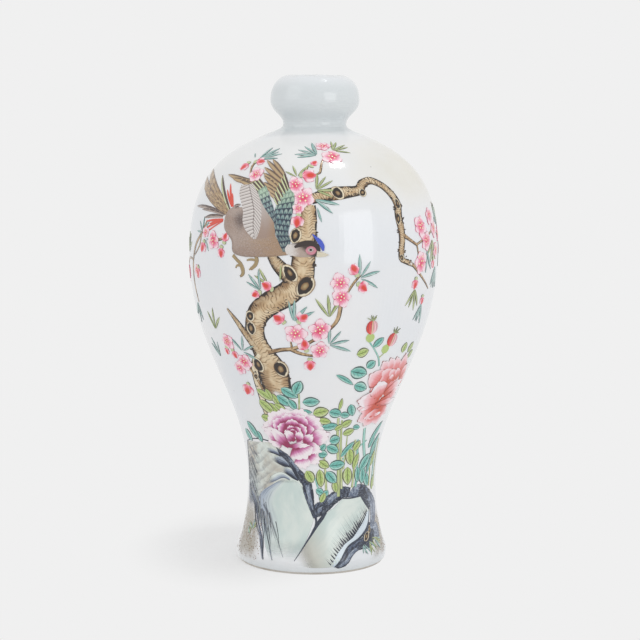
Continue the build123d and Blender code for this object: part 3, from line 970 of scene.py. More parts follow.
def make_buds():
    """Round red buds on small green cups."""
    buds, cups = Dabs("buds", 21), Dabs("bud_cups", 22)
    scale = bpy.context.scene.vase_sizes.flower * BUD_SCALE
    for angle, height, size, turn in BUDS:
        size *= scale
        foot = canvas.ahead(canvas.place(angle, height), turn, -0.45 * size)
        for side, share in ((-1, 0.86), (1, 0.9), (0, 0.94)):
            front = side == 0
            buds.add(foot, turn + side * 27 + buds.jitter(6), size * share, size * (0.8 if front else 0.62),
                     FRONT_RISE * front, buds.jitter(0.1), buds.random.randrange(4) + 4 * (not front))
        for side in (-1, 0, 1, 0.4):
            place = canvas.ahead(foot, turn + 90, side * CUP_SPREAD)
            cups.add(place, turn + 180 + side * 30, 1.2 + cups.jitter(0.2), 1.0, CROSSING * side,
                     cell=cups.random.randrange(4))
    buds.lay(PETAL, paint_bud, (4, 2), (7, 7), round=0.3)
    cups.lay(OVAL, paint_plain("olive_light", "olive_line", 0.9), (4, 1))


def make_sprays():
    """Slim leaves in fans along the twigs."""
    leaves = Dabs("slim_leaves", 31)
    for angle, height, heading, count, length, spread, kind in SPRAYS:
        for index in range(count):
            share = index / max(count - 1, 1) - 0.5
            turn = heading + share * spread + leaves.jitter(5)
            reach = length * bpy.context.scene.vase_sizes.leaf * (0.92 + leaves.jitter(0.14))
            base = canvas.ahead(canvas.place(angle, height), turn, SPRAY_GAP)
            leaves.add(base, turn, reach, reach * (0.15 + leaves.jitter(0.02)), LAP * (index % 3),
                       0.1 * share + leaves.jitter(0.06), kind * 4 + leaves.random.randrange(4))
    leaves.lay(SLIM_LEAF, paint_slender_leaf, (4, 2), (5, 8))


# Peonies

DEEP, PALE = 0, 1
ROSE_PEONY = (-14, 60.2)    # angle and height of the rose peony's heart
# Rings of petals from the back to the heart: how many, start, end, breadth and half the fan in degrees
ROSE_RINGS = [
    (8, 5.5, 13.4, 8.6, 118), (6, 3.4, 9.8, 7.4, 120), (5, 1.8, 6.6, 5.8, 130), (4, 0.4, 3.8, 3.6, 130),
    (3, 0, 1.8, 2.2, 100)]
# Pale petals in front: start and end, right and up of the heart, and breadth, in millimetres
FRONT_PETALS = [
    (5.4, -3.6, 15, -0.8, 7.4), (-5, -4, -13, 0.4, 6), (3.2, -6, 11, -8.4, 6.4),
    (5, -9.4, 9.8, -13.4, 5.4), (2.4, -9.6, 4, -16, 7), (0.4, -4, -3.6, 0.6, 3.8),
    (1.6, -4, 3.8, 0.4, 3.6), (4, -4.4, 7.8, -0.6, 4), (-2, -6.8, -9.8, 1.8, 4.8),
    (1, -5.6, 4.4, -12, 10.6), (-2.6, -6.4, 6.6, -6, 2.6)]
# The coral peony, from the side: angle and height of start and end, breadth in millimetres, and shade
CORAL_PETALS = [
    (50, 76, 42, 83, 12, DEEP), (52, 74, 61, 82, 12, DEEP), (48, 72, 38, 68, 9, DEEP),
    (50, 72, 62, 68, 9, DEEP), (51, 81, 40, 88.8, 7, DEEP), (53, 81, 45.4, 90, 7, DEEP),
    (56.5, 81, 51.4, 90.2, 7, DEEP), (61, 80.8, 59, 90.8, 7, DEEP), (65, 79, 68, 86, 6, DEEP),
    (65, 77.5, 73, 81, 5, DEEP), (48, 79.6, 34, 84.6, 9.4, DEEP), (54, 79.4, 41.5, 84.6, 8, DEEP),
    (58, 80, 48, 84.4, 5.6, DEEP), (60, 80, 56.4, 85.4, 4.6, DEEP), (54.6, 80, 52, 83, 2.6, PALE),
    (52, 75, 70, 80, 4.8, PALE), (57, 72.4, 71, 76, 4, PALE), (50, 71.6, 70, 73.4, 4, DEEP),
    (50, 68.8, 31, 68.6, 6, DEEP), (48, 68.8, 33.6, 64.6, 7, DEEP), (48, 68, 41.6, 61.4, 7.4, DEEP),
    (51, 67.6, 54, 61.4, 7, DEEP), (52, 68.8, 63, 65, 5.4, DEEP), (58.5, 67.8, 39, 64.4, 5, DEEP),
    (44, 65.2, 56, 67.2, 1.8, PALE), (48.5, 73, 29.6, 73.2, 7.6, PALE), (48, 73, 41.5, 80.4, 9.4, PALE),
    (46.6, 70.6, 72, 72.4, 3, PALE), (45, 70.6, 33, 69, 1.8, PALE)]
# Closed buds: angle, height, length, breadth and heading
ROSEBUDS = [(29, 103.4, 6, 5, 2), (43.2, 97.6, 6, 5, 18)]
HIPS = [(29, 99.2, 4, 3.8, 2), (40, 94, 4, 3.6, 15)]
WHISKER_TURNS = (-62, -34, -8, 20, 48)


def paint_peony(brush, colours, line, shares, outline):
    """Peony petals: deep at the base and white at the scalloped rim, the pale ones mostly white."""
    pale = brush.cell > 3.5
    spread = brush.along + (brush.cloud(1.6, 0.8) - 0.5) * 0.3 + pale * 0.22
    heart, *others = colours
    washes = [(spread.smooth(*share), other) for share, other in zip(shares, (*others, PEONY_WHITE))]
    side = brush.off.smooth(0.5, 1.0) * brush.along.smooth(0.8, 0.25) * 0.55
    streak = brush.lines(9.0, 0.18) * brush.along.smooth(0.9, 0.3) * 0.35
    edge = brush.rim().smooth(*outline) * brush.cloud(2.0, 2.0, 2.0, 5.0).smooth(0.3, 0.6, 0.4, 0.9)
    return {"Base Color": layers(heart, *washes, (side, heart), (streak, heart), (edge, line))}


# Where along a petal each of its colours gives way to the next
ROSE_SHARES = ((0.4, 0.66), (0.62, 0.8), (0.78, 0.93))
CORAL_SHARES = ((0.26, 0.56), (0.56, 0.82), (0.84, 1.0))


def paint_rose_peony(brush, ink):
    colours = (ink.rose_heart, ink.rose, ink.rose_rim)
    return paint_peony(brush, colours, ink.rose_line, ROSE_SHARES, (0.84, 0.96))


def paint_coral_peony(brush, ink):
    colours = (ink.coral_heart, ink.coral, ink.coral_rim)
    return paint_peony(brush, colours, ink.coral_line, CORAL_SHARES, (0.74, 0.9))


def paint_rosebud(brush, ink):
    """A closed bud: coral with a rose side, pale lines between its petals."""
    stripe = brush.lines(4.0, 0.2, brush.along * 0.4) * brush.along.smooth(0.1, 0.5) * 0.8
    seam = abs(brush.across - 0.25 + brush.along * 0.3).smooth(0.12, 0.04)
    return {"Base Color": layers(
        ink.bud, ((brush.across + (brush.cloud(1.5, 1.5) - 0.5)).smooth(-0.6, 0.8), ink.coral_rim),
        (stripe, ink.rose_heart), (seam * 0.9, ink.olive_light),
        (brush.rim().smooth(0.75, 0.97) * 0.6, ink.coral_line))}


def ring_petals(dabs):
    """Petals of the rose peony in rings round its heart."""
    petals = []
    for ring, (count, start, end, breadth, fan) in enumerate(ROSE_RINGS):
        for index in range(count):
            way = math.radians(fan * (2 * (index + 0.25 * (ring % 2)) / (count - 1) - 1) + dabs.jitter(5))
            reach = end * (1 + dabs.jitter(0.07))
            right, up = math.sin(way), math.cos(way)
            petals.append((start * right, start * up * 0.8, reach * right, reach * up * 0.86, breadth,
                           DEEP if ring else PALE))
    return petals


def make_peonies():
    """The purple rose peony, the coral peony and the coral's closed buds."""
    rose, coral = Dabs("rose_peony", 41), Dabs("coral_peony", 43)
    heart = canvas.place(*ROSE_PEONY)
    petals = ring_petals(rose) + [(*petal, PALE) for petal in FRONT_PETALS]
    for index, (right, up, tip_right, tip_up, breadth, kind) in enumerate(petals):
        rose.between(canvas.shift(heart, right, up), canvas.shift(heart, tip_right, tip_up), breadth,
                     PEONY_STEP * index, rose.jitter(0.08), kind * 4 + rose.random.randrange(4))
    for index, (*base, tip, tip_height, breadth, kind) in enumerate(CORAL_PETALS):
        coral.between(canvas.place(*base), canvas.place(tip, tip_height), breadth, PEONY_STEP * index,
                      coral.jitter(0.1), kind * 4 + coral.random.randrange(4))
    rose.lay(BROAD_PETAL, paint_rose_peony, (4, 2), (19, 8), round=0.36, lobes=3.0, lobe_depth=0.12)
    coral.lay(BROAD_PETAL, paint_coral_peony, (4, 2), (19, 8), round=0.36, lobes=3.0, lobe_depth=0.06)
    buds, hips, whiskers = Dabs("rosebuds"), Dabs("rosebud_hips"), Dabs("rosebud_whiskers", 46)
    for angle, height, length, breadth, turn in ROSEBUDS:
        buds.centred(angle, height, turn, length, breadth)
        top = canvas.ahead(canvas.place(angle, height), turn, length * 0.42)
        for whisker in WHISKER_TURNS:
            whiskers.add(top, turn + whisker, 2.6 + whiskers.jitter(0.6), 0.4, 0.0, whiskers.jitter(0.2), 4)
    for angle, height, length, breadth, turn in HIPS:
        hips.centred(angle, height, turn, length, breadth)
    buds.lay(OVAL, paint_rosebud, grid=(9, 10))
    hips.lay(OVAL, paint_plain("lime", "olive_light", 0.4), grid=(7, 8))
    whiskers.lay(SLIM_LEAF, paint_slender_leaf, (4, 2), (3, 5))


# Each broad leaf: angle and height of its middle, heading, length, breadth and colour
BROAD_LEAVES = [
    (-14, 76.6, 126, 7.6, 4, COOL), (-18, 73.2, 133, 7, 4, COOL), (-12.5, 71.8, 145, 5.4, 2.8, COOL),
    (-8.8, 79.2, 18, 6.8, 4, COOL), (-0.5, 73.2, 85, 6.8, 3.8, COOL), (-3.5, 69, 95, 4.4, 1.7, COOL),
    (16, 68.2, 105, 5.4, 3.8, COOL), (13, 62.5, 85, 7, 3.2, COOL), (18, 56.8, 75, 4.4, 4, COOL),
    (17, 53, 115, 5.6, 3.6, COOL), (8.5, 53.8, 40, 3.6, 2.6, COOL), (9, 51, 100, 3.8, 3.2, COOL),
    (22, 46, 88, 6.8, 3.8, COOL), (17, 41, 142, 6.4, 3.8, COOL), (-51.5, 59, 140, 8.4, 3.4, COOL),
    (-60, 56, 140, 6, 3.2, COOL), (-45, 56.5, 160, 5, 2.6, COOL), (33, 88.2, 45, 4.4, 3.8, COOL),
    (26.5, 84.8, 108, 7.6, 5, COOL), (19, 82.5, 118, 9, 1.9, COOL), (30, 79, 105, 6.4, 4, COOL),
    (34.5, 97.2, 42, 5.6, 2.8, COOL), (27, 69, 165, 5.8, 3.2, COOL), (23, 67.2, 100, 4.2, 2.6, COOL),
    (34.5, 61.5, 100, 3.4, 2, COOL), (30, 52.5, 40, 8.4, 2.4, COOL), (51.5, 46, 38, 8.4, 4.4, COOL),
    (59, 58, 32, 11, 2.4, COOL), (63, 53, 34, 9, 2.2, COOL), (50, 40, 170, 6.4, 3.8, COOL),
    (7.4, 35.4, 120, 3.6, 2.6, COOL), (12.5, 34.6, 45, 3, 2.2, COOL), (6, 69, 72, 6.4, 4.2, WARM),
    (8.5, 65, 100, 5.8, 2.8, WARM), (10, 46.5, 130, 5, 3.2, WARM), (-1.5, 41.5, 150, 5.6, 3.6, WARM),
    (8, 40.8, 170, 7.6, 3.2, WARM), (-31, 75, 128, 8, 3.2, WARM), (-31.5, 70, 135, 8, 4.2, WARM),
    (-32.5, 65, 100, 6.4, 3.6, WARM), (-23.4, 73.4, 150, 6.4, 2.6, WARM), (-26, 69.6, 140, 6, 3, WARM),
    (-27.5, 75.4, 160, 5.4, 2.4, WARM), (-21, 70.4, 120, 5.4, 2.6, WARM), (26.5, 93.2, 75, 5.2, 3.6, WARM),
    (55.5, 93.5, 8, 4.6, 3.2, WARM), (63, 93, 25, 5, 3, WARM), (66, 90, 40, 4.4, 2.4, WARM),
    (25.5, 63.5, 60, 5.2, 2.8, WARM), (28.5, 59.8, 70, 5.2, 2.8, WARM), (38.5, 53.5, 30, 5, 3, WARM),
    (33, 49, 170, 7.4, 3.6, WARM), (32, 41, 180, 7.6, 4, WARM), (10, 33, 25, 4.4, 2.2, WARM),
    (20, 62, 60, 4, 2.2, WARM), (40, 47, 15, 7, 2.6, WARM), (43.5, 41, 175, 6.6, 2.8, COOL),
    (56, 38, 165, 6, 3.4, COOL), (56.5, 54, 30, 6, 2.6, COOL), (62, 50.5, 28, 8, 2.2, COOL),
    (64.5, 46.5, 20, 7, 2.4, WARM), (68, 36, 10, 6, 2.4, WARM), (20.5, 37, 175, 5, 2.4, WARM),
    (58, 44, 12, 7, 2, COOL), (19, 72, 12, 5.4, 1.4, WARM)]
LEAF_FULLNESS = 1.18        # breadth of the broad leaves against the list
# Stems: angle, height and width
STEMS = [
    [(18.5, 66, 1), (20, 57, 1.2), (22.5, 48, 1.3), (24, 38, 1.4), (24, 33, 1.4)],
    [(21.5, 65, 0.8), (23, 56, 0.9), (25.5, 47, 1), (27, 36, 1)],
    [(43, 60.5, 1.3), (46, 54, 1.5), (50, 48, 1.6), (54, 38, 1.6)],
    [(38.5, 56, 0.9), (41, 49, 1.1), (42.5, 42, 1.2), (42, 36, 1.2)],
    [(36, 56, 0.8), (38, 49, 0.9), (39, 42, 1), (38, 36, 1)],
    [(70, 54, 1), (72, 47, 1.2), (73, 40, 1.2), (72, 34, 1)],
    [(65, 56, 0.9), (67, 48, 1), (68, 40, 1.1), (66, 35, 1)],
    [(10, 50, 0.7), (12, 42, 0.9), (13, 34, 0.9)], [(3, 41, 0.6), (6, 36, 0.7), (7.4, 32, 0.7)],
    [(-8, 77, 0.6), (-8.2, 73, 0.7), (-8.5, 69, 0.7)],
    [(29, 97.4, 0.6), (32, 95, 0.6), (37, 90.5, 0.7), (39, 87, 0.7)],
    [(40, 92.4, 0.5), (38.6, 91.4, 0.5), (37, 90.5, 0.5)], [(60, 45, 0.8), (62, 40, 1), (61, 35, 1)],
    [(25.5, 48, 0.5), (37, 51.6, 0.8), (49, 55, 0.5)], [(28, 58, 0.4), (28.4, 52, 0.6), (28, 44, 0.7)]]


def paint_stem(brush, ink):
    """Stems: a green wash between two fine lines, cool or warm from one to the next."""
    cool = brush.chance > 0.62
    colour = brush.cloud(0.6, 4.0).smooth(0.3, 0.7).blend(cool.blend(ink.olive_light, ink.teal_light),
                                                           cool.blend(ink.olive, ink.teal))
    edge = brush.off.smooth(0.55, 0.9) * 0.7
    return {"Base Color": edge.blend(colour, ink.olive_line)}


def make_peony_leaves():
    """The peonies' broad leaves and stems."""
    leaves = Dabs("broad_leaves", 51)
    scale = bpy.context.scene.vase_sizes.leaf
    for index, (angle, height, heading, length, breadth, kind) in enumerate(BROAD_LEAVES):
        leaves.centred(angle, height, heading, length * scale, breadth * LEAF_FULLNESS * scale,
                       LAP * (index % 5), leaves.jitter(0.1), kind * 4 + leaves.random.randrange(4))
    lay_strokes("peony_stems", STEMS, paint_stem, (3, 14), len(STEMS))
    leaves.lay(LEAF, paint_broad_leaf, (4, 2), (9, 10))


# Rocks

# Washes between two edges, both from start to end: the right edge and the left one
LEFT_FACE = ([(-18, 40.6), (-10, 38.3), (-5.5, 34.5), (-1.5, 29.5), (2.4, 24.6), (-5.5, 13.8), (-12.5, 7)],
             [(-24, 40.4), (-37, 37), (-49, 33.5), (-55, 29), (-48, 22), (-40, 13), (-31, 6)])
RIGHT_FACE = (
    [(-8, 6), (2, 5.4), (16.5, 5.6), (21.5, 7.5), (29, 12), (46, 14.8), (57, 20), (61.5, 25.2)],
    [(-12.5, 8.2), (-5.5, 13.8), (5, 21.8), (13.5, 26.8), (20, 28.8), (28.5, 32), (39, 31.8),
     (48.5, 31.8)])
SLOPE = ([(-30.5, 55), (-21, 50.5), (-12, 46.5), (-8, 42), (-6, 36), (-20, 30)],
         [(-66, 53), (-71, 47.5), (-74.5, 42), (-76, 36), (-76, 30), (-70, 24)])
# Rounded lobes of the left slope, each between its lower and its upper edge
LOBES = [
    ([(-40, 50.5), (-32.5, 50), (-26, 49)], [(-41, 52.5), (-33, 52.4), (-26, 51)]),
    ([(-35.5, 47.5), (-29, 46), (-23, 45), (-17, 44.6)], [(-36.5, 49), (-28.5, 50), (-22, 49), (-17, 46)]),
    ([(-26, 43), (-21.5, 42), (-16.5, 40.5), (-11.5, 39.5)], [(-27.5, 45), (-20, 45.4), (-14, 44),
     (-11.5, 41)]),
    ([(-43, 36.6), (-33.5, 38.6), (-25.5, 40.4), (-19, 39.6)], [(-45, 38), (-35, 41.6), (-27, 43),
     (-19.5, 41.6)])]
DARK, LIGHT = 0, 1
# Facets of the ridges, dark or light, each between two edges
FACETS = [
    ([(-27.5, 50), (-21.5, 47.4), (-17.5, 44.6), (-13.5, 41.2), (-9.5, 38.8), (-7.5, 38)], [(-30, 53),
     (-20.5, 50.6), (-15, 47.6), (-11, 45), (-6.5, 43), (-0.5, 40.2)], DARK),
    ([(-19, 47.4), (-15, 45.4), (-12, 43)], [(-18, 49), (-13.4, 46.4), (-10.4, 44)], LIGHT),
    ([(-0.5, 40), (1.5, 36), (2.5, 31.5), (2.8, 25)], [(-8.5, 39), (-7, 35), (-4, 31), (1.6, 24.6)], DARK),
    ([(-2, 38.4), (-0.6, 35), (1, 31.5), (2, 28)], [(-5.6, 38), (-4.2, 34.6), (-1.8, 31.2), (1, 28)],
     LIGHT),
    ([(2.4, 24.6), (5.5, 25), (11, 26), (16, 28)], [(2.5, 30), (5, 31), (8.5, 31.8), (14.5, 33.6)], DARK),
    ([(5, 26.4), (9, 27.4)], [(5.6, 28.6), (9.6, 29.6)], LIGHT),
    ([(12.5, 26.8), (16.5, 28), (22, 30.2), (28.5, 32)], [(9, 31.6), (14, 33.6), (19, 35.2),
     (25.5, 36.6)], DARK),
    ([(15, 29.4), (20, 31.6), (26, 33.6)], [(13.6, 32), (18.4, 34), (24.4, 35.6)], LIGHT),
    ([(25.5, 31.6), (29.5, 32.2), (34.5, 32)], [(22.5, 36), (28.5, 36.9), (36.5, 36.2)], DARK),
    ([(33, 32.2), (39.5, 31.9), (49, 31.7)], [(36, 34.6), (41, 36.6), (49, 36.9)], LIGHT),
    ([(45, 32.2), (48.8, 31.6), (53.5, 29), (61, 25.3)], [(48, 36.8), (53.5, 36), (62.5, 33.6),
     (70.5, 30)], DARK),
    ([(64.5, 32.6), (76.5, 27.5), (75, 23), (66, 18)], [(58, 29.6), (63, 26), (61.6, 22), (59, 19)],
     LIGHT),
    ([(73.5, 19), (75.5, 15), (71, 12)], [(58, 19.5), (58.5, 17), (57.5, 14.6)], LIGHT),
    ([(64, 17), (62.5, 14), (53.5, 10.8), (44, 11)], [(57.5, 18), (58, 15.4), (52.5, 12.6), (44, 12.8)],
     DARK),
    ([(60, 20), (58.5, 16), (54, 12.6), (46, 11.4)], [(57, 20.6), (52, 17.6), (46, 15.4), (40, 14.2)],
     DARK),
    ([(48, 10.8), (39, 10.6), (33, 8.8), (27, 5.6), (20.5, 4.8)], [(48, 15), (42, 14.6), (30.5, 12.6),
     (23, 8.2), (17.8, 5.6)], DARK),
    ([(40, 10.9), (34, 9.6), (28, 6.6), (22, 5.2)], [(38, 12), (31.6, 10.6), (25.6, 7.6), (20.4, 5.6)],
     LIGHT)]
FACET_CELLS = 9
# The left rock's shaded side, and the dry strokes that run down from it: angle, height and width
SHADE = ([(-60, 36), (-57, 32), (-52, 29), (-46, 24.6)], [(-73.5, 36), (-69.5, 32), (-64, 28), (-58, 23)])
SHADE_STROKES = [[(-56, 27, 4.6), (-51.5, 21, 4.2), (-44.5, 15, 2.6), (-38.5, 7, 0.9)],
                 [(-50, 26, 2.6), (-42.5, 20, 2.2), (-36, 14, 1.5), (-30, 7.4, 0.5)],
                 [(-46.5, 28.5, 1.8), (-38.5, 24, 1.3), (-31, 18, 0.8), (-21.5, 9, 0.3)]]
SHADE_RISE = 0.006          # of those strokes over the shaded side, in millimetres
SANDS = [([(-56, 28), (-46, 15), (-40, 4.6)], [(-86, 32), (-86, 16), (-78, 4)]),
         ([(86, 26), (88, 17), (80, 5)], [(64, 24), (60, 14), (48, 5)])]
# Strokes: angle, height and width
CRACKS = [
    [(13, 26.8, 0.5), (9, 24.6, 1.5), (4.4, 21.6, 1.3), (-0.4, 17.8, 0.8), (-5.5, 13.8, 0.5),
     (-12.5, 8, 0.2)],
    [(3, 26, 1.2), (4.2, 23.4, 0.8), (2.6, 20.4, 0.3)],
    [(-66, 53.1, 0.35), (-55, 54.8, 0.4), (-44, 55.5, 0.4), (-31, 55, 0.5)],
    [(-66, 53, 0.4), (-70, 48.8, 0.4), (-73.5, 43, 0.5), (-75, 36, 0.4)],
    [(61, 25.2, 0.5), (58, 21, 0.6), (52, 17.8, 0.7), (42, 15, 0.9), (30.5, 12.8, 0.6), (22.5, 8, 0.4),
     (17.5, 5.4, 0.2)],
    [(48.5, 31.8, 0.5), (54.5, 28.5, 0.7), (61.5, 25.2, 0.9)],
    [(28.5, 32, 0.4), (38, 31.7, 0.5), (48.5, 31.8, 0.4)]]
# Hollows in the right rock: angle, height, width, length and heading
HOLLOWS = [(51.5, 15.2, 2.8, 5, 48), (57, 17.6, 1.6, 3.4, 20)]
# The blue strip between the comb strokes and the right rock's lower edge
STRIP = ([(60.5, 25), (58, 21), (52, 18), (42, 15), (30.5, 13), (22.5, 8), (17.5, 5.5)],
         [(57, 24.6), (51, 21.5), (44, 19), (36.5, 16), (28, 14), (21.5, 11), (15, 6.5)])
COMB = STRIP[1]
# Strokes along the strip: how many, cell, and ranges of length and width
COMB_STROKES = [(54, 1, (5, 10), (0.18, 0.3)), (26, 0, (2.6, 5), (0.9, 1.3))]
# Hatching of the left rock: where it starts, strokes, heading, spread, ranges of length and width
HATCHING = [([(-58, 32), (-52, 27), (-46, 24), (-38, 22)], 26, 164, 5, (5, 12), (0.2, 0.5)),
            ([(-67, 52), (-72, 45), (-74, 37), (-70, 30)], 64, 140, 6, (3, 8), (0.25, 0.6))]
SAND_GRAINS = 330
# Where grains lie, the second and third of each three on the left: ranges of angle and height
LEFT_GRAINS, RIGHT_GRAINS = ((-82, -44), (6, 21)), ((64, 84), (7, 22))
BLADE_WIDTH = 0.7           # of the grass, in millimetres
# Tufts: angle, height, heading, blades, length, spread
TUFTS = [
    (-57, 17.4, -10, 6, 4, 110), (-62, 15, -20, 4, 3.4, 80), (46, 12.4, 172, 4, 5, 60),
    (53, 13, 160, 5, 6, 80), (60, 14, 140, 4, 6, 70), (66, 13, 128, 4, 5, 60)]


def paint_slope(brush, ink):
    """A grey slope in soft folds that darken to the left, with fine strokes along them."""
    tone = brush.cloud(1.4, 2.6, 3.0)
    fold = brush.along * 8 + brush.across * brush.across * 0.8 + brush.across * 1.8 + tone * 1.8
    left = (tone - 0.5) * 0.9 - brush.across
    dark = fold.math("FRACT").smooth(0.35, 1.0) * left.smooth(-0.9, 0.6) * 0.55
    deep = left.smooth(0.1, 0.9) * brush.along.smooth(0.25, 0.7) * 0.85
    hatch = brush.cloud(6.0, 14.0, 3.0, 6.0).smooth(0.52, 0.66) * left.smooth(-0.6, 0.8) * 0.5
    fade = brush.along.smooth(1.0, 0.75) * brush.across.smooth(1.0, 0.9) * brush.across.smooth(-1.0, -0.97)
    colour = layers(
        ink.rock_pale, (tone.smooth(0.35, 0.65), ink.rock_sand), (dark, ink.rock_grey),
        (deep, ink.rock_blue), (hatch, ink.rock_ink))
    return {"Base Color": colour, "Alpha": fade}


def paint_rock_face(brush, ink):
    """Pale celadon faces, blue grey where the left one rounds off, sand grey at the right one's foot."""
    second = brush.cell
    tone = brush.cloud(1.2, 1.6, 3.0)
    edge = (brush.across * -1 + (tone - 0.5) * 0.7).smooth(0.1, 1.0) * brush.along.smooth(0.95, 0.4)
    hatch = brush.cloud(14.0, 3.0, 2.0, 4.0).smooth(0.5, 0.66) * edge * (1 - second) * 0.8
    ends = (1 - second) * brush.along.smooth(1.0, 0.72) * brush.along.smooth(0.0, 0.08)
    ends = ends + second * brush.along.smooth(0.0, 0.2)
    colour = layers(
        ink.rock, (tone.smooth(0.35, 0.65), ink.rock_pale), (edge * (1 - second), ink.rock_mist),
        (hatch, ink.rock_blue), (brush.along.smooth(0.45, 0.05) * second * 0.8, ink.rock_sand))
    return {"Base Color": colour, "Alpha": ends * brush.off.smooth(1.0, 0.96)}


def paint_lobe(brush, ink):
    """A rounded lobe: pale on top, blue grey below, with ink along its lower edge and at its far end."""
    tone = brush.cloud(1.4, 2.4, 3.0)
    down = brush.across + (tone - 0.5) * 1.1 + brush.along * 0.5 - (brush.cell > 2.5) * 0.7
    streak = brush.lines(5.0, 0.34, (tone - 0.5) * 0.9) * down.smooth(-0.6, 0.4) * 0.55
    colour = layers(
        ink.rock_pale, (down.smooth(-0.8, 0.1), ink.rock_mist), (down.smooth(0.0, 0.7), ink.rock_blue),
        (down.smooth(0.6, 1.0).math("MAXIMUM", streak), ink.rock_ink))
    return {"Base Color": colour, "Alpha": brush.along.smooth(0.0, 0.45) * brush.across.smooth(-1.0, -0.6)}


def paint_facet(brush, ink):
    """Streaked and outlined facets: dark in the first half of the cells, light in the rest."""
    light = brush.cell > FACET_CELLS - 0.5
    tone = brush.cloud(2.4, 7.0, 4.0)
    lit = (tone - 0.5) * 3.2 - brush.across * 0.35
    dark = lit.smooth(0.0, 0.55).blend(ink.rock_ink, ink.rock_blue)
    pale = lit.smooth(-0.4, 0.6).blend(ink.rock_blue, ink.rock_mist)
    patch = brush.cloud(1.2, 4.0, 2.0, 5.0)
    streak = brush.lines(6.0, 0.3, (tone - 0.5) * 1.4 + brush.along * 0.8) * patch.smooth(0.44, 0.56)
    end = abs(brush.along * 2 - 1)
    border = brush.off.math("MAXIMUM", end - 0.1) + (brush.cloud(3.0, 12.0, 3.0, 7.0) - 0.5) * 0.5
    colour = layers(
        dark, (light, pale), (streak * (0.4 + light * 0.35), light.blend(ink.rock_mist, ink.rock_ink)),
        (border.smooth(0.8, 0.92) * (1 - light * 0.35), ink.rock_ink))
    return {"Base Color": colour, "Alpha": border.smooth(1.0, 0.94)}


def paint_shade(brush, ink):
    """The shaded side, from blue grey down to ink, and dry strokes of ink that thin out."""
    side = brush.cell < 0.5
    streak = brush.cloud(3.6, 1.6, 3.0)
    down = brush.along + (streak - 0.5) * 0.7 - brush.across * 0.1
    shaded = down.smooth(0.1, 0.55).blend(ink.rock_mist, ink.rock_blue)
    shaded = down.smooth(0.5, 0.85).blend(shaded, ink.rock_ink)
    dry = (streak - brush.off * 0.12).smooth(0.34, 0.5, 0.0, 1.0)
    stroke = brush.cloud(1.5, 3.0, 2.0, 6.0).smooth(0.4, 0.65).blend(ink.rock_ink, ink.rock_blue)
    off = brush.off.smooth(1.0, 0.4)
    soft = off * brush.along.smooth(0.0, 0.3) * brush.along.smooth(1.0, 0.9) * streak.smooth(0.25, 0.5)
    thin = dry * (0.95 - brush.cell.smooth(1.5, 3.0) * 0.4)
    return {"Base Color": side.blend(stroke, shaded), "Alpha": side * soft + (1 - side) * thin}


def paint_sand(brush, ink):
    """A thin wash of sand that fades all round."""
    fade = brush.off.smooth(1.0, 0.3) * brush.along.smooth(0.0, 0.35) * brush.along.smooth(1.0, 0.7)
    fade = fade * brush.cloud(3.0, 3.0, 3.0).smooth(0.1, 0.6) * 0.9
    return {"Base Color": rgba(ink.rock_sand), "Alpha": fade}


def paint_crack(brush, ink):
    """Brush lines of ink, dry at their edges."""
    dry = brush.cloud(1.5, 12.0, 3.0).smooth(0.4, 0.75) * 0.7
    return {"Base Color": dry.blend(ink.rock_ink, ink.rock_blue)}


def paint_comb(brush, ink):
    """Comb strokes: short ones of ink and long ones of thin grey that pale to their ends."""
    thin = brush.cell > 0.5
    faded = (brush.along.smooth(0.2, 1.0) * 0.8).blend(ink.rock_grey, ink.rock)
    return {"Base Color": thin.blend(ink.rock_ink, faded)}


def add_comb(comb):
    """Long thin strokes and short ink ones that stand on the blue strip like a comb's teeth."""
    for count, cell, lengths, widths in COMB_STROKES:
        for index in range(count):
            share = index / (count - 1)
            middle = 1 - abs(share - 0.45)
            turn = -24 - 18 * share + comb.jitter(4)
            comb.add(canvas.place(*along_points(COMB, share)), turn, comb.random.uniform(*lengths) * middle,
                     comb.random.uniform(*widths) * middle, CROSSING * (1 - cell), comb.jitter(0.05), cell)


def add_hatching(comb):
    """Strokes down the left rock, every fourth one of ink."""
    drawn = 0
    for row, count, heading, spread, lengths, widths in HATCHING:
        for _ in range(count):
            place = canvas.place(*along_points(row, comb.random.random()))
            place = canvas.shift(place, comb.random.uniform(-1.0, spread), 0)
            comb.add(place, heading + comb.jitter(8), comb.random.uniform(*lengths),
                     comb.random.uniform(*widths), CROSSING, comb.jitter(0.1), 1 if drawn % 4 else 0)
            drawn += 1


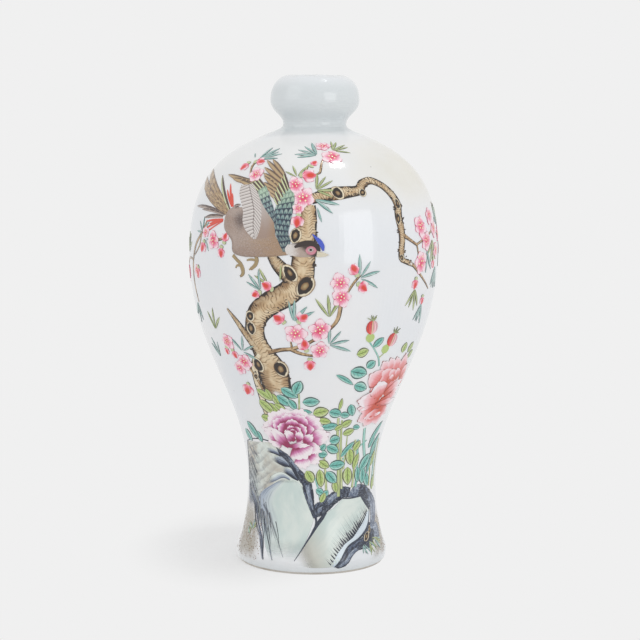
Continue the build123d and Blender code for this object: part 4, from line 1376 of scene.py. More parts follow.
def make_rocks():
    """Pale rock faces under dark ridges, with lobes, facets, cracks, comb strokes, sand and grass."""
    lay_washes("sand_wash", SANDS, paint_sand, (25, 41))
    lay_washes("rock_slope", [SLOPE], paint_slope, (17, 26))
    lay_washes("rock_faces", [LEFT_FACE, RIGHT_FACE], paint_rock_face, (17, 40))
    lay_washes("rock_lobes", LOBES, paint_lobe, (11, 20))
    facets = Paths("rock_facets")
    for index, (right, left, kind) in enumerate(FACETS):
        facets.patch(right, left, kind * FACET_CELLS + index % FACET_CELLS, FACET_STEP * index)
    facets.lay(paint_facet, 2 * FACET_CELLS, (9, 24), relief=0.0)
    shades = Paths("rock_shades")
    shades.patch(*SHADE)
    for cell, points in enumerate(SHADE_STROKES, 1):
        shades.stroke(points, cell, SHADE_RISE)
    shades.lay(paint_shade, len(SHADE_STROKES) + 1, (9, 24), relief=0.0)
    lay_strokes("rock_cracks", CRACKS, paint_crack, (3, 28), 4)
    lay_hollows("rock_hollows", HOLLOWS, (7, 9))
    lay_washes("rock_strip", [STRIP], paint_plain("strip", "rock_mist", 0.5), (5, 24))
    comb = Dabs("rock_comb", 61)
    add_comb(comb)
    add_hatching(comb)
    comb.lay(TAPER, paint_comb, (2, 1), (3, 5))
    grains = Dabs("sand_grains", 66)
    for index in range(SAND_GRAINS):
        angles, heights = LEFT_GRAINS if index % 3 else RIGHT_GRAINS
        angle, height = grains.random.uniform(*angles), grains.random.uniform(*heights)
        size = grains.random.uniform(0.2, 0.42)
        grains.centred(angle, height, 0, size, size)
    grains.lay(OVAL, paint_plain("bark_shadow", "bark_shadow"), grid=(3, 4))
    grass = Dabs("grass", 63)
    for angle, height, heading, count, length, spread in TUFTS:
        for blade in range(count):
            turn = heading + (blade / (count - 1) - 0.5) * spread + grass.jitter(8)
            place = canvas.shift(canvas.place(angle, height), grass.jitter(0.8), 0)
            grass.add(place, turn, length * grass.random.uniform(0.7, 1.1), BLADE_WIDTH, 0.0,
                      grass.jitter(0.15), grass.random.randrange(8))
    grass.lay(SLIM_LEAF, paint_slender_leaf, (4, 2), (3, 6))


# Bird

FEATHER = ((0.0, 0.5), (0.3, 0.9), (0.6, 1.0), (0.85, 0.66), (1.0, 0.04))
BODY = (
    [(-44, 145), (-43.4, 140.4), (-38.6, 136), (-37.6, 131.6), (-32, 130.2), (-23, 130.4), (-16.5, 130.9),
     (-10.8, 131.6)],
    [(-42.4, 147.8), (-38.6, 149), (-32, 148.6), (-27, 146), (-22, 144), (-18, 141), (-15.6, 137.4),
     (-12.4, 134.6)])
PANEL = (
    [(-31.6, 157.8), (-27.6, 154.4), (-25.4, 151), (-24, 147.4), (-23.8, 143.6), (-24.2, 140.4),
     (-25.6, 137.2)],
    [(-38.6, 157), (-38, 154), (-35.6, 150.6), (-33.6, 147.2), (-33.2, 143.8), (-31.2, 140.4),
     (-27, 137.2)])
PLAIN_WING = ([(-27.2, 154.2), (-22.4, 149.8), (-19.4, 146), (-17, 142.6), (-17, 138.6)],
              [(-28.2, 154), (-25.2, 150), (-24, 146), (-24, 142), (-25.4, 137.2)])
SCALE_BANDS = [
    ([(-24, 157.2), (-20.8, 153), (-18.6, 149.6), (-16.8, 145.2), (-16.2, 142.4)], [(-27.8, 155.2),
     (-25, 151.4), (-22, 148.2), (-18.2, 144.4), (-16.8, 142)]),
    ([(-10.4, 157.4), (-8.8, 153), (-9.2, 148.5), (-10.2, 143.5), (-10.9, 139.6), (-9.8, 137),
     (-11.3, 132.8)], [(-14, 156), (-16.6, 151.4), (-17.6, 148), (-17.6, 144.2), (-16.6, 139.8),
     (-15, 136.2), (-13, 132.8)])]
HEAD = [
    (-11.2, 133.6, 3.2), (-9, 133.7, 4.6), (-5, 133.7, 5.6), (-1, 133.7, 5.4), (1.6, 133, 4),
    (2.6, 132.6, 1.6)]
# Feathers: angle and height of root and tip, breadth and kind
TAIL, FLIGHT, STRIPED, WISP, GREY = range(5)
DROOP = -0.17               # bend of the grey feathers under the tail
FEATHER_RELIEF = 0.004      # height of a feather's middle over its edges, in millimetres
FEATHERS = [
    (-45, 146.2, -73, 151.6, 1.6, GREY), (-45.5, 145, -60, 146, 1.5, GREY),
    (-44.6, 145.6, -64, 149.6, 1.2, GREY), (-43, 147, -70, 156.6, 3.2, TAIL),
    (-43.5, 146.6, -79, 159, 4, TAIL), (-42, 147, -75, 163.4, 4.2, TAIL),
    (-42, 147.8, -57, 160, 1.8, STRIPED), (-40.6, 149, -46.6, 157.4, 0.9, WISP),
    (-41, 149, -47.4, 155, 0.9, WISP), (-40, 148.8, -42.6, 154, 0.8, WISP),
    (-45, 144, -58, 143, 0.9, WISP), (-45, 143.6, -58, 140.4, 0.8, WISP), (-45, 143.6, -55, 142, 1, WISP),
    (-45, 143.2, -59, 138, 0.5, WISP), (-31.5, 158.6, -52, 160.6, 2, FLIGHT),
    (-32, 157.9, -46.5, 159.6, 2, FLIGHT), (-32, 157.2, -40.5, 158.6, 1.8, FLIGHT),
    (-24.5, 156.6, -30.5, 160, 1.4, STRIPED), (-25.5, 155.8, -31.5, 159.4, 1.4, STRIPED),
    (-26.2, 154.8, -32.5, 158.6, 1.4, STRIPED), (-27, 154, -33, 157.6, 1.3, STRIPED),
    (-15, 161, -24.5, 167.2, 1.8, FLIGHT), (-14.5, 159.4, -28.5, 166.6, 2, FLIGHT),
    (-14.5, 158, -27.5, 164.2, 2, FLIGHT), (-14.5, 156.4, -27, 162.2, 2, FLIGHT),
    (-15, 155.2, -26.5, 160.5, 2, FLIGHT), (-15, 154, -25.5, 158.5, 1.9, FLIGHT),
    (-16, 153, -23.5, 156.5, 1.7, FLIGHT), (-16.5, 152, -21.5, 154.5, 1.5, FLIGHT),
    (-36, 149.8, -39.6, 149.6, 1, GREY), (-36.5, 148.9, -38.6, 148.6, 0.8, GREY),
    (-12, 156.2, -16, 161.8, 1.4, STRIPED), (-12.7, 155.4, -16.6, 160.4, 1.4, STRIPED),
    (-13.6, 154.4, -17.3, 158.6, 1.4, STRIPED), (-14.5, 153, -18, 157, 1.3, STRIPED),
    (-15.5, 151.6, -18.6, 155.2, 1.3, STRIPED), (-16.4, 150.2, -18.8, 153.2, 1.2, STRIPED)]
FEET = [
    [(-37.5, 130.6, 1.4), (-35.4, 129, 1.3), (-33.4, 127.6, 1.5), (-32.2, 125.4, 1.7),
     (-32.2, 123.6, 1.4), (-33.6, 122.6, 0.8)],
    [(-33, 126.8, 1), (-35, 126.8, 0.9), (-36, 125.8, 0.5)],
    [(-25.8, 131, 1.3), (-25, 129.4, 1.5), (-25.8, 127.4, 1.5), (-28, 125.6, 1)],
    [(-25.4, 129.2, 1), (-28, 129.4, 0.9), (-30, 129, 0.6)], [(-27.4, 126.4, 0.9), (-28.8, 125.4, 0.5)]]
COLLAR = [[(-10.6, 135.6, 0.5), (-11.7, 133.8, 0.8), (-11, 131.8, 0.5)]]
CAP = [[(-8, 134.6, 0.8), (-5, 135.8, 1.9), (-1, 136.2, 2), (1.8, 135, 1.8), (2.8, 133.2, 0.7)]]
CREST = [[(-0.4, 139.6, 0.3), (1, 138.4, 1), (2.8, 136.8, 1.7), (4, 135, 1.6), (4.4, 133.4, 0.6)]]
# Head pieces: angle and height of start and end, breadth
EYE_RING = [(-2.3, 133.7, 0.3, 133.7, 1.7)]
EYE_PATCH = [(-3.3, 133.5, 1.5, 133.4, 3.3)]
PUPIL = [(-1.6, 133.7, -0.4, 133.7, 0.9)]
BEAK = [(1.6, 132.4, 6.8, 131.8, 1.9), (1.6, 131.6, 6, 131.4, 1.2)]
# Pieces of one colour: strokes and dabs, colour and edge
PLAIN_STROKES = {"bird_feet": (FEET, "knot", "feather_dark"), "bird_cap": (CAP, "cap", "cap"),
                 "bird_collar": (COLLAR, "feather_white", "feather_pale"),
                 "bird_crest": (CREST, "crest", "crest_dark")}
PLAIN_DABS = {"bird_eye_patch": (EYE_PATCH, "eye_patch", "rose_heart", OVAL),
              "bird_eye_ring": (EYE_RING, "feather_pale", "rose_heart", OVAL),
              "bird_eye": (PUPIL, "cap", "cap", OVAL), "bird_beak": (BEAK, "beak", "beak_line", TAPER)}


def paint_body(brush, ink):
    """Soft mauve brown plumage, dark over the rump and warm on the breast, with a fine stipple."""
    tone = brush.cloud(1.6, 2.4, 2.0)
    warm = (brush.along + (tone - 0.5) * 0.9).smooth(0.4, 0.9) * 0.85
    near, high = brush.along - 0.26, brush.across + 0.3
    rump = (near * near * 22 + high * high * 1.2).math("SQRT").smooth(0.8, 0.05) * 0.9
    stipple = brush.cloud(22.0, 70.0, 3.0, 5.0).smooth(0.45, 0.72)
    fleck = brush.cloud(16.0, 50.0, 3.0, 8.0).smooth(0.5, 0.72)
    rim = brush.across.smooth(0.75, 1.0) * 0.3
    soft = brush.off.smooth(1.0, 0.94)
    colour = layers(
        ink.feather, (tone.smooth(0.3, 0.7), ink.feather_mauve), (warm, ink.feather_warm),
        (rump, ink.feather_dark), (stipple * 0.5, ink.feather_dark), (fleck * 0.5, ink.feather_pale),
        (rim, ink.feather_dark))
    return {"Base Color": colour, "Roughness": 0.28, "Alpha": soft}


def paint_panel(brush, ink):
    """The pale panel of the wing: slanting barbs with dark edges on both sides of a dashed quill."""
    off = brush.across - 0.3 + brush.along * 0.15
    slant = (brush.along * 17 - abs(off) * 2.0 - off * 1.2).math("FRACT")
    line = slant.smooth(0.0, 0.32, 1.0, 0.0)
    dash = (brush.along * 34).math("FRACT") > 0.4
    quill = abs(off).smooth(0.08, 0.03) * dash
    return {"Base Color": layers(
        ink.feather_white, (slant.smooth(0.2, 1.0), ink.feather_pale), (line, ink.feather_dark),
        (quill * 0.85, ink.feather_dark))}


def paint_plain_wing(brush, ink):
    """A plain part of the wing that goes from pale to warm brown."""
    tone = brush.cloud(1.6, 3.0, 2.0)
    warm = brush.across.smooth(-0.2, 1.0) * brush.along.smooth(0.3, 0.8) * 0.7
    stipple = brush.cloud(18.0, 50.0, 2.0, 5.0).smooth(0.35, 0.75) * 0.18
    colour = layers(
        ink.feather_pale, ((brush.along + (tone - 0.5) * 0.3).smooth(0.15, 0.95), ink.feather),
        (warm, ink.feather_warm), (stipple, ink.feather_dark))
    return {"Base Color": colour, "Roughness": 0.28}


SCALE_ROWS = 8.0            # in the first band


def paint_scales(brush, ink):
    """Overlapping scales with pale edges, from turquoise to dark blue, more in the second band."""
    rows = brush.along * (brush.cell * 4 + SCALE_ROWS)
    odd = ((rows * 0.5).math("FRACT") > 0.5) * 0.5
    x = (brush.across * (1.3 + brush.cell * 0.7) + odd).math("FRACT") - 0.5
    y = 1 - rows.math("FRACT")
    reach = (x * x * 3.4 + y * y).math("SQRT")
    deep = brush.along + (brush.cloud(1.2, 3.0) - 0.5) * 0.3
    glint = reach.smooth(0.25, 0.5) * reach.smooth(0.8, 0.6)
    glint = glint * brush.cloud(3.0, 8.0, 2.0, 4.0).smooth(0.35, 0.6) * 0.5
    ring = reach.smooth(0.72, 0.9) * deep.smooth(0.05, 0.35, 0.35, 0.95)
    heart = reach.smooth(0.3, 0.1) * deep.smooth(0.2, 0.6) * 0.7
    return {"Base Color": layers(
        ink.scale_light, (deep.smooth(0.1, 0.45), ink.scale), (deep.smooth(0.5, 0.9) * 0.5, ink.scale_dark),
        (glint, ink.scale_edge), (ring.math("MAXIMUM", heart), ink.scale_dark))}


def paint_feather(brush, ink):
    """Feathers by kind: flecked tail, flight with a dark edge, striped and red wisps."""
    def kind(place):
        return abs(brush.cell - place) < 0.5
    tone = brush.cloud(2.0, 6.0, 3.0)
    tail = tone.smooth(0.35, 0.65).blend(ink.feather_ochre, ink.feather_warm)
    tail = (brush.cloud(3.0, 12.0, 2.0, 7.0).smooth(0.5, 0.62) * 0.6).blend(tail, ink.feather_dark)
    dark_half = (brush.across + (tone - 0.5) * 0.15).smooth(0.15, 0.5)
    flight = brush.across.smooth(-0.9, -0.2).blend(ink.feather_warm, ink.feather_ochre)
    flight = (dark_half * 0.85).blend(flight, ink.feather_dark)
    grey = (tone + brush.across * 0.3).smooth(0.3, 0.7).blend(ink.feather_mauve, ink.feather_dark)
    striped = (brush.across + 0.1).smooth(-0.2, 0.15).blend(ink.olive_light, ink.feather_dark)
    plain = 1 - kind(WISP)
    quill = brush.off.smooth(0.12, 0.03) * plain * 0.3
    edge = brush.off.smooth(0.72, 0.92) * plain * tone.smooth(0.3, 0.6, 0.4, 0.9)
    return {"Base Color": layers(
        tail, (kind(FLIGHT), flight), (kind(GREY), grey), (kind(STRIPED), striped), (kind(WISP), ink.wisp),
        (quill, ink.feather_dark), (edge, ink.feather_dark))}


def paint_head(brush, ink):
    """A pale grey neck that darkens towards the eye."""
    tone = brush.cloud(2.0, 5.0, 3.0)
    dark = (brush.along * 1.1 - brush.across * 0.35 + (tone - 0.5) * 0.3).smooth(0.38, 0.72)
    stipple = brush.cloud(12.0, 30.0, 2.0, 5.0).smooth(0.4, 0.75) * 0.25
    colour = layers(
        ink.feather_white, ((brush.along + (tone - 0.5) * 0.3).smooth(0.1, 0.42), ink.feather_mauve),
        (dark * 0.95, ink.cap), (stipple, ink.feather_dark))
    return {"Base Color": colour, "Roughness": 0.26}


def paint_plain(colour, line, share=0.6):
    """Paint for a small piece of one colour with a darker edge."""
    def paint(brush, ink):
        mottle = brush.cloud(1.5, 2.5).smooth(0.3, 0.75) * 0.35
        body = mottle.blend(getattr(ink, colour), getattr(ink, line))
        edge = brush.rim().smooth(0.7, 0.95) * share
        return {"Base Color": edge.blend(body, getattr(ink, line))}
    return paint


def make_bird():
    """The flying bird: tail, body, wings, head and feet."""
    feathers = Dabs("bird_feathers", 71)
    for index, (*root, tip, tip_height, breadth, kind) in enumerate(FEATHERS):
        bend = DROOP if kind == GREY else feathers.jitter(0.05)
        feathers.between(canvas.place(*root), canvas.place(tip, tip_height), breadth, FEATHER_STEP * index,
                         bend, kind)
    feathers.lay(FEATHER, paint_feather, (5, 1), (5, 10), relief=FEATHER_RELIEF * MM)
    lay_washes("bird_body", [BODY], paint_body, (13, 40))
    lay_washes("bird_wing_plain", [PLAIN_WING], paint_plain_wing, (7, 22))
    lay_washes("bird_wing_panel", [PANEL], paint_panel, (11, 30))
    lay_washes("bird_wing_scales", SCALE_BANDS, paint_scales, (9, 34))
    lay_strokes("bird_head", [HEAD], paint_head, (7, 18))
    for name, (rows, colour, line) in PLAIN_STROKES.items():
        lay_strokes(name, rows, paint_plain(colour, line), (5, 18))
    for name, (rows, colour, line, form) in PLAIN_DABS.items():
        dabs = Dabs(name)
        for index, (*start, end, end_height, breadth) in enumerate(rows):
            dabs.between(canvas.place(*start), canvas.place(end, end_height), breadth, LAP * index)
        dabs.lay(form, paint_plain(colour, line), grid=(7, 9))


# Settings, operators and panel

def colour_setting(name, description, *parts):
    """A colour that a user may change, given as 0 to 255."""
    return bpy.props.FloatVectorProperty(name=label(name), description=description, subtype="COLOR", size=3,
                                         min=0.0, max=1.0, default=srgb(*parts))


def colour_settings(rows):
    """Colours that a user may change, by name."""
    return {name: colour_setting(name, *row) for name, row in rows.items()}


# Colours: what each is for, and its red, green and blue
GLAZES = {
    "glaze": ("White of the glaze", 243, 243, 244),
    "glaze_cool": ("Bluish drift in the glaze", 236, 239, 243),
    "glaze_thick": ("Glaze where it lies thick, round the neck and foot", 215, 222, 224),
    "stain": ("Cream stain on the shoulder", 226, 220, 198),
    "bare_rim": ("Clay where the glaze has worn off the lip", 196, 190, 176),
    "speck": ("Iron specks in the glaze", 120, 112, 104),
    "clay": ("Bare clay of the foot ring", 216, 211, 203),
    "clay_stain": ("Dirt and iron in the bare clay", 172, 160, 146),
}
ENAMELS = {
    "petal": ("Pink of a blossom's petals", 247, 160, 188),
    "petal_pale": ("Nearly white outer part of the petals", 252, 228, 235),
    "petal_heart": ("Rose heart of a blossom", 230, 74, 112),
    "petal_line": ("Fine lines and outlines of petals", 216, 86, 128),
    "bud": ("Red of the buds", 222, 70, 54),
    "bud_edge": ("Paler edge of a bud", 246, 136, 160),
    "stamen": ("Raised stamen dots", 252, 246, 206),
    "stamen_edge": ("Edge of a stamen dot", 236, 188, 120),
    "teal": ("Wash of the broad cool leaves", 116, 192, 180),
    "teal_light": ("Pale margin of the broad cool leaves", 186, 224, 214),
    "teal_line": ("Ink on the broad cool leaves", 30, 60, 60),
    "blade": ("Wash of the slim cool leaves", 140, 192, 184),
    "blade_light": ("Pale side of the slim cool leaves", 206, 226, 220),
    "blade_line": ("Ink on the slim cool leaves", 50, 84, 84),
    "lime": ("Wash of the broad warm leaves and the hips", 180, 204, 118),
    "olive": ("Wash of the slim warm leaves", 172, 188, 122),
    "olive_light": ("Pale side of the warm leaves", 214, 222, 174),
    "olive_line": ("Ink on the warm leaves", 70, 76, 44),
    "rose_heart": ("Deep purple rose at the base of the petals", 154, 48, 92),
    "rose": ("Purple rose of the peony", 214, 128, 180),
    "rose_rim": ("Pale rim of the rose peony", 240, 206, 226),
    "rose_line": ("Outline of the rose peony", 150, 78, 108),
    "coral_heart": ("Deep coral at the base of the petals", 208, 80, 56),
    "coral": ("Coral of the peony", 236, 142, 144),
    "coral_rim": ("Pale rim of the coral peony", 248, 206, 212),
    "coral_line": ("Outline of the coral peony", 146, 62, 52),
    "bark": ("Ochre of the bark", 204, 174, 134),
    "bark_light": ("Light parts of the bark", 228, 208, 174),
    "bark_cream": ("Cream round the knots", 236, 224, 196),
    "bark_shadow": ("Brown of the bark's strokes and shaded side", 130, 96, 62),
    "bark_line": ("Ink of the bark's marks and edges", 44, 34, 28),
    "knot": ("Hollow of a knot", 176, 154, 112),
    "rock": ("Celadon face of the rocks", 206, 221, 217),
    "rock_pale": ("Palest part of the rocks", 228, 236, 230),
    "rock_sand": ("Sand grey of slopes and ground", 194, 187, 174),
    "rock_mist": ("Blue mist where the rocks round off", 176, 188, 204),
    "rock_grey": ("Grey wash on the rocks", 140, 142, 146),
    "rock_blue": ("Blue grey facets of the ridges", 96, 108, 132),
    "rock_ink": ("Ink of the ridges and cracks", 40, 46, 62),
    "feather": ("Mauve brown of the bird", 166, 142, 128),
    "feather_mauve": ("Lighter mauve of the plumage", 184, 166, 155),
    "feather_pale": ("Pale parts of the wings", 196, 187, 182),
    "feather_warm": ("Ochre of the flight and tail feathers", 172, 140, 108),
    "feather_dark": ("Dark stripes of the feathers", 88, 70, 64),
    "feather_white": ("Whitish barbs of the wing", 228, 222, 218),
    "scale_light": ("Turquoise of the upper wing scales", 170, 198, 172),
    "scale": ("Blue teal of the wing scales", 108, 138, 142),
    "scale_dark": ("Dark blue of the lower wing scales", 44, 54, 72),
    "scale_edge": ("Pale edges of the wing scales", 198, 210, 198),
    "crest": ("Cobalt of the crest", 78, 100, 208),
    "crest_dark": ("Dark edge of the crest", 40, 56, 150),
    "cap": ("Dark brown of the bird's cap", 54, 42, 38),
    "eye_patch": ("Pink skin round the eye", 214, 146, 158),
    "beak": ("Cream of the beak", 230, 222, 200),
    "beak_line": ("Edge of the beak", 152, 140, 118),
    "wisp": ("Red wisps in the tail", 226, 84, 66),
    "strip": ("Blue white strip along the rock", 226, 238, 246),
    "feather_ochre": ("Light ochre of the flight feathers", 196, 170, 130),
}


class GlazeSettings(bpy.types.PropertyGroup):
    """Colours of the glaze and of the bare clay."""

    __annotations__ = colour_settings(GLAZES)


class SizeSettings(bpy.types.PropertyGroup):
    """Sizes of the glaze coat and of the painting."""

    coat: bpy.props.FloatProperty(name="Glaze thickness", description="Thickness of the outer glaze",
                                  default=0.4 * MM, min=0.1 * MM, unit="LENGTH", precision=5)
    relief: bpy.props.FloatProperty(name="Enamel relief", default=0.03 * MM, min=0.0, unit="LENGTH",
                                    precision=5, description="Height of a dab of enamel at its middle")
    flower: bpy.props.FloatProperty(name="Flower scale", default=1.0, min=0.2, max=2.0,
                                    description="Size of blossoms and buds against the photograph")
    leaf: bpy.props.FloatProperty(name="Leaf scale", default=1.0, min=0.2, max=2.0,
                                  description="Size of the leaves against the photograph")


class PaintSettings(bpy.types.PropertyGroup):
    """Colours of the enamels."""

    __annotations__ = colour_settings(ENAMELS)


class StageSettings(bpy.types.PropertyGroup):
    """Camera, floor and light."""

    lens: bpy.props.FloatProperty(name="Lens", description="Focal length of the camera in millimetres",
                                  default=94.3, min=10.0)
    roll: bpy.props.FloatProperty(name="Roll", description="Turn of the camera about its own line of sight",
                                  default=math.radians(0.49), subtype="ANGLE")
    backdrop: colour_setting("backdrop", "Pale grey of the floor and backdrop", 240, 240, 240)
    ambient: bpy.props.FloatProperty(name="Ambient", default=0.72, min=0.0,
                                     description="Strength of the even light from all round")


COAT_RINGS, COAT_SEGMENTS = 240, 160
CLAY_ROUGHNESS, SLIP_ROUGHNESS = 0.72, 0.8


class VASE_OT_glaze(bpy.types.Operator):
    """Coat the outside of the vase with glaze"""

    bl_idname = "vase.glaze"
    bl_label = "Outer glaze"

    def execute(self, context):
        make_outline()
        glaze = glaze_material("Outer glaze", context.scene.vase_glaze)
        values = {"Outline": outline_object(), "Material": glaze, "Rings": COAT_RINGS,
                  "Segments": COAT_SEGMENTS, "Under": context.scene.vase_sizes.coat,
                  "Length": canvas.lengths[-1]}
        coat = plain_mesh("outer_glaze_coat", bpy.data.meshes.new("coat"), lathe_tree("Glaze coat"), values)
        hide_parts("outer_glaze")
        return {"FINISHED"}


class VASE_OT_clay(bpy.types.Operator):
    """Finish the clay sections, their joints and the inner and base glaze"""

    bl_idname = "vase.clay"
    bl_label = "Clay and inner glaze"

    def execute(self, context):
        settings = context.scene.vase_glaze
        clay = clay_material("Bare porcelain", settings.clay, settings.clay_stain, CLAY_ROUGHNESS)
        slip = clay_material("Luting slip", settings.clay, settings.bare_rim, SLIP_ROUGHNESS)
        inner = glaze_material("Inner glaze", settings)
        for name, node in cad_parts.items():
            if name == "outer_glaze":
                continue
            node.data.materials.clear()
            node.data.materials.append(inner if "glaze" in name else slip if "slip" in name else clay)
        return {"FINISHED"}


class VASE_OT_tree(bpy.types.Operator):
    """Paint the old trunk, its limbs, twigs and knots"""

    bl_idname = "vase.tree"
    bl_label = "Tree"

    def execute(self, context):
        make_tree()
        return {"FINISHED"}


class VASE_OT_blossoms(bpy.types.Operator):
    """Paint the blossoms and their stamens"""

    bl_idname = "vase.blossoms"
    bl_label = "Blossoms"

    def execute(self, context):
        make_blossoms()
        return {"FINISHED"}


class VASE_OT_buds(bpy.types.Operator):
    """Paint the red buds and their cups"""

    bl_idname = "vase.buds"
    bl_label = "Buds"

    def execute(self, context):
        make_buds()
        return {"FINISHED"}


class VASE_OT_sprays(bpy.types.Operator):
    """Paint the fans of slim leaves"""

    bl_idname = "vase.sprays"
    bl_label = "Slim leaves"

    def execute(self, context):
        make_sprays()
        return {"FINISHED"}


class VASE_OT_peonies(bpy.types.Operator):
    """Paint the two peonies and the closed buds"""

    bl_idname = "vase.peonies"
    bl_label = "Peonies"

    def execute(self, context):
        make_peonies()
        return {"FINISHED"}


class VASE_OT_peony_leaves(bpy.types.Operator):
    """Paint the peonies' leaves and stems"""

    bl_idname = "vase.peony_leaves"
    bl_label = "Peony leaves"

    def execute(self, context):
        make_peony_leaves()
        return {"FINISHED"}


class VASE_OT_rocks(bpy.types.Operator):
    """Paint the rocks"""

    bl_idname = "vase.rocks"
    bl_label = "Rocks"

    def execute(self, context):
        make_rocks()
        return {"FINISHED"}


class VASE_OT_bird(bpy.types.Operator):
    """Paint the flying bird"""

    bl_idname = "vase.bird"
    bl_label = "Bird"

    def execute(self, context):
        make_bird()
        return {"FINISHED"}


class VASE_OT_stage(bpy.types.Operator):
    """Set the floor, the light and the camera"""

    bl_idname = "vase.stage"
    bl_label = "Stage"

    def execute(self, context):
        settings = context.scene.vase_stage
        make_floor(settings)
        make_world(settings)
        for name, lamp in LAMPS.items():
            make_lamp(name, *lamp)
        make_camera(settings)
        context.scene.view_settings.view_transform = "Standard"
        return {"FINISHED"}


class VASE_PT_panel(bpy.types.Panel):
    """The vase's settings and steps"""

    bl_label = "Painted vase"
    bl_idname = "VASE_PT_panel"
    bl_space_type = "VIEW_3D"
    bl_region_type = "UI"
    bl_category = "Vase"

    def draw(self, context):
        for group, kind in SETTINGS.items():
            for name in kind.__annotations__:
                self.layout.prop(getattr(context.scene, group), name)
        for step in STEPS:
            self.layout.operator(step.bl_idname)


# Stage

EYE = Vector((2.81, -680.0, 181.5)) * MM
LOOKED_AT = Vector((2.81, 0.0, 98.5)) * MM
FLOOR_SIZE = 3.0
# The floor's soft shadow, left of the foot: its middle, its reach and how much of it shows
SHADOW_MIDDLE, SHADOW_REACH, SHADOW_SHARE = (-0.03, 0.015), (0.052, 0.075), 0.45
# Each lamp: degrees to the right of the front and upwards, distance, width, height and radiance
LAMPS = {
    "window": (41, 10, 1.3, 0.7, 0.8, 1.55),
    "overhead": (100, 77, 1.4, 0.15, 0.15, 30.0),
    "fill": (-60, 25, 1.6, 1.2, 1.2, 0.6),
}


def seen_rays(tree):
    """Which rays see the plain backdrop: those of the camera, reflected ones and those through a piece."""
    path = Value.node(tree, "ShaderNodeLightPath", None, None, "Is Camera Ray")
    outputs = path.socket.node.outputs
    return path, Value(outputs["Is Glossy Ray"]).math("MAXIMUM", Value(outputs["Is Transmission Ray"]))


def make_floor(settings):
    """A pale floor that shows the vase's shadow close to it and a plain backdrop further off."""
    half = FLOOR_SIZE / 2
    mesh = bpy.data.meshes.new("floor")
    corners = [(-half, -half, 0), (half, -half, 0), (half, half, 0), (-half, half, 0)]
    mesh.from_pydata(corners, [], [(0, 1, 2, 3)])
    floor = bpy.data.objects.new("floor", mesh)
    bpy.context.scene.collection.objects.link(floor)
    material = new_material("Pale floor")
    tree = material.node_tree
    camera, others = seen_rays(tree)
    place = object_place(tree)
    right, back = ((place.part(axis) - SHADOW_MIDDLE[axis]) / SHADOW_REACH[axis] for axis in range(2))
    away = (right * right + back * back).math("SQRT")
    plain = (camera * (1 - away.smooth(1.0, 0.3, 0.0, SHADOW_SHARE))).math("MAXIMUM", others)
    tooth = noise(tree, place, 900.0, 2.0).smooth(0.2, 0.8)
    colour = tooth.blend([part * 0.985 for part in settings.backdrop], settings.backdrop)
    matt = Value.node(tree, "ShaderNodeBsdfDiffuse", None, {"Color": colour})
    glow = Value.node(tree, "ShaderNodeEmission", None, {"Color": rgba(settings.backdrop), "Strength": 1.0})
    mixed = Value.node(tree, "ShaderNodeMixShader", None, {0: plain, 1: matt, 2: glow})
    end = tree.nodes.new("ShaderNodeOutputMaterial")
    tree.links.new(mixed.socket, end.inputs["Surface"])
    mesh.materials.append(material)
    floor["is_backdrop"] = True


def make_world(settings):
    """Even light from all round, and the plain backdrop where the camera sees past the floor."""
    world = bpy.data.worlds.new("Studio")
    world.use_nodes = True
    tree = world.node_tree
    tree.nodes.clear()
    camera, others = seen_rays(tree)
    colour = camera.math("MAXIMUM", others).blend([settings.ambient] * 3, settings.backdrop)
    sky = Value.node(tree, "ShaderNodeBackground", None, {"Color": colour, "Strength": 1.0})
    end = tree.nodes.new("ShaderNodeOutputWorld")
    tree.links.new(sky.socket, end.inputs["Surface"])
    bpy.context.scene.world = world


def make_lamp(name, azimuth, elevation, distance, width, height, radiance):
    """A soft lamp that shines on the middle of the vase."""
    data = bpy.data.lights.new(name, "AREA")
    data.shape = "RECTANGLE"
    data.size, data.size_y = width, height
    data.energy = radiance * math.pi * width * height
    lamp = bpy.data.objects.new(name, data)
    turn, rise = math.radians(azimuth), math.radians(elevation)
    way = Vector((math.sin(turn) * math.cos(rise), -math.cos(turn) * math.cos(rise), math.sin(rise)))
    lamp.location = LOOKED_AT + way * distance
    lamp.rotation_euler = way.to_track_quat("Z", "Y").to_euler()
    bpy.context.scene.collection.objects.link(lamp)


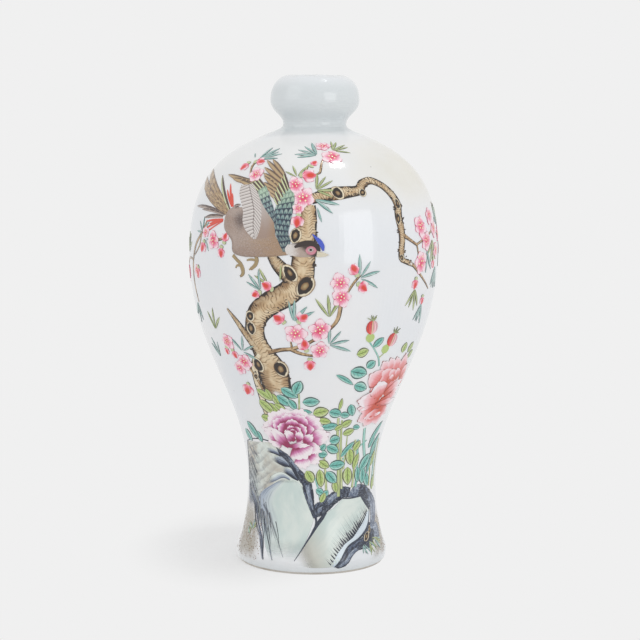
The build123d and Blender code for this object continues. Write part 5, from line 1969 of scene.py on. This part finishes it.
def make_camera(settings):
    """The camera of the photograph."""
    data = bpy.data.cameras.new("camera")
    data.lens = settings.lens
    data.sensor_width = 36.0
    camera = bpy.data.objects.new("camera", data)
    turn = (EYE - LOOKED_AT).to_track_quat("Z", "Y")
    camera.location = EYE
    camera.rotation_euler = turn.to_euler()
    camera.rotation_euler.rotate_axis("Z", settings.roll)
    bpy.context.scene.collection.objects.link(camera)
    bpy.context.scene.camera = camera


OUTLINE_NAME = "vase_outline"


def make_outline():
    """The vase's outline as a curve that the geometry trees read. It is deleted at the end."""
    curve = bpy.data.curves.new(OUTLINE_NAME, "CURVE")
    curve.dimensions = "3D"
    spline = curve.splines.new("POLY")
    spline.points.add(len(canvas.line) - 1)
    for point, place in zip(spline.points, canvas.line):
        point.co = (place.x, 0.0, place.y, 1.0)
    bpy.context.scene.collection.objects.link(bpy.data.objects.new(OUTLINE_NAME, curve))


def outline_object():
    return bpy.data.objects[OUTLINE_NAME]


SETTINGS = {"vase_sizes": SizeSettings, "vase_glaze": GlazeSettings, "vase_paint": PaintSettings,
            "vase_stage": StageSettings}
STEPS = (VASE_OT_glaze, VASE_OT_clay, VASE_OT_tree, VASE_OT_blossoms, VASE_OT_buds, VASE_OT_sprays,
         VASE_OT_peonies, VASE_OT_peony_leaves, VASE_OT_rocks, VASE_OT_bird, VASE_OT_stage)


def register():
    for group in SETTINGS.values():
        bpy.utils.register_class(group)
    for name, group in SETTINGS.items():
        setattr(bpy.types.Scene, name, bpy.props.PointerProperty(type=group))
    for step in (*STEPS, VASE_PT_panel):
        bpy.utils.register_class(step)


def unregister():
    for step in reversed((*STEPS, VASE_PT_panel)):
        bpy.utils.unregister_class(step)
    for name in SETTINGS:
        delattr(bpy.types.Scene, name)
    for group in SETTINGS.values():
        bpy.utils.unregister_class(group)


def main():
    """Make every piece in order."""
    register()
    for step in STEPS:
        group, name = step.bl_idname.split(".")
        getattr(getattr(bpy.ops, group), name)()
    bpy.data.objects.remove(outline_object())
    boxes = {"cad": CAD_BOX, "visual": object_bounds()}
    sizes = {name: [list(corner) for corner in box] for name, box in boxes.items()}


if __name__ == "__main__":
    main()
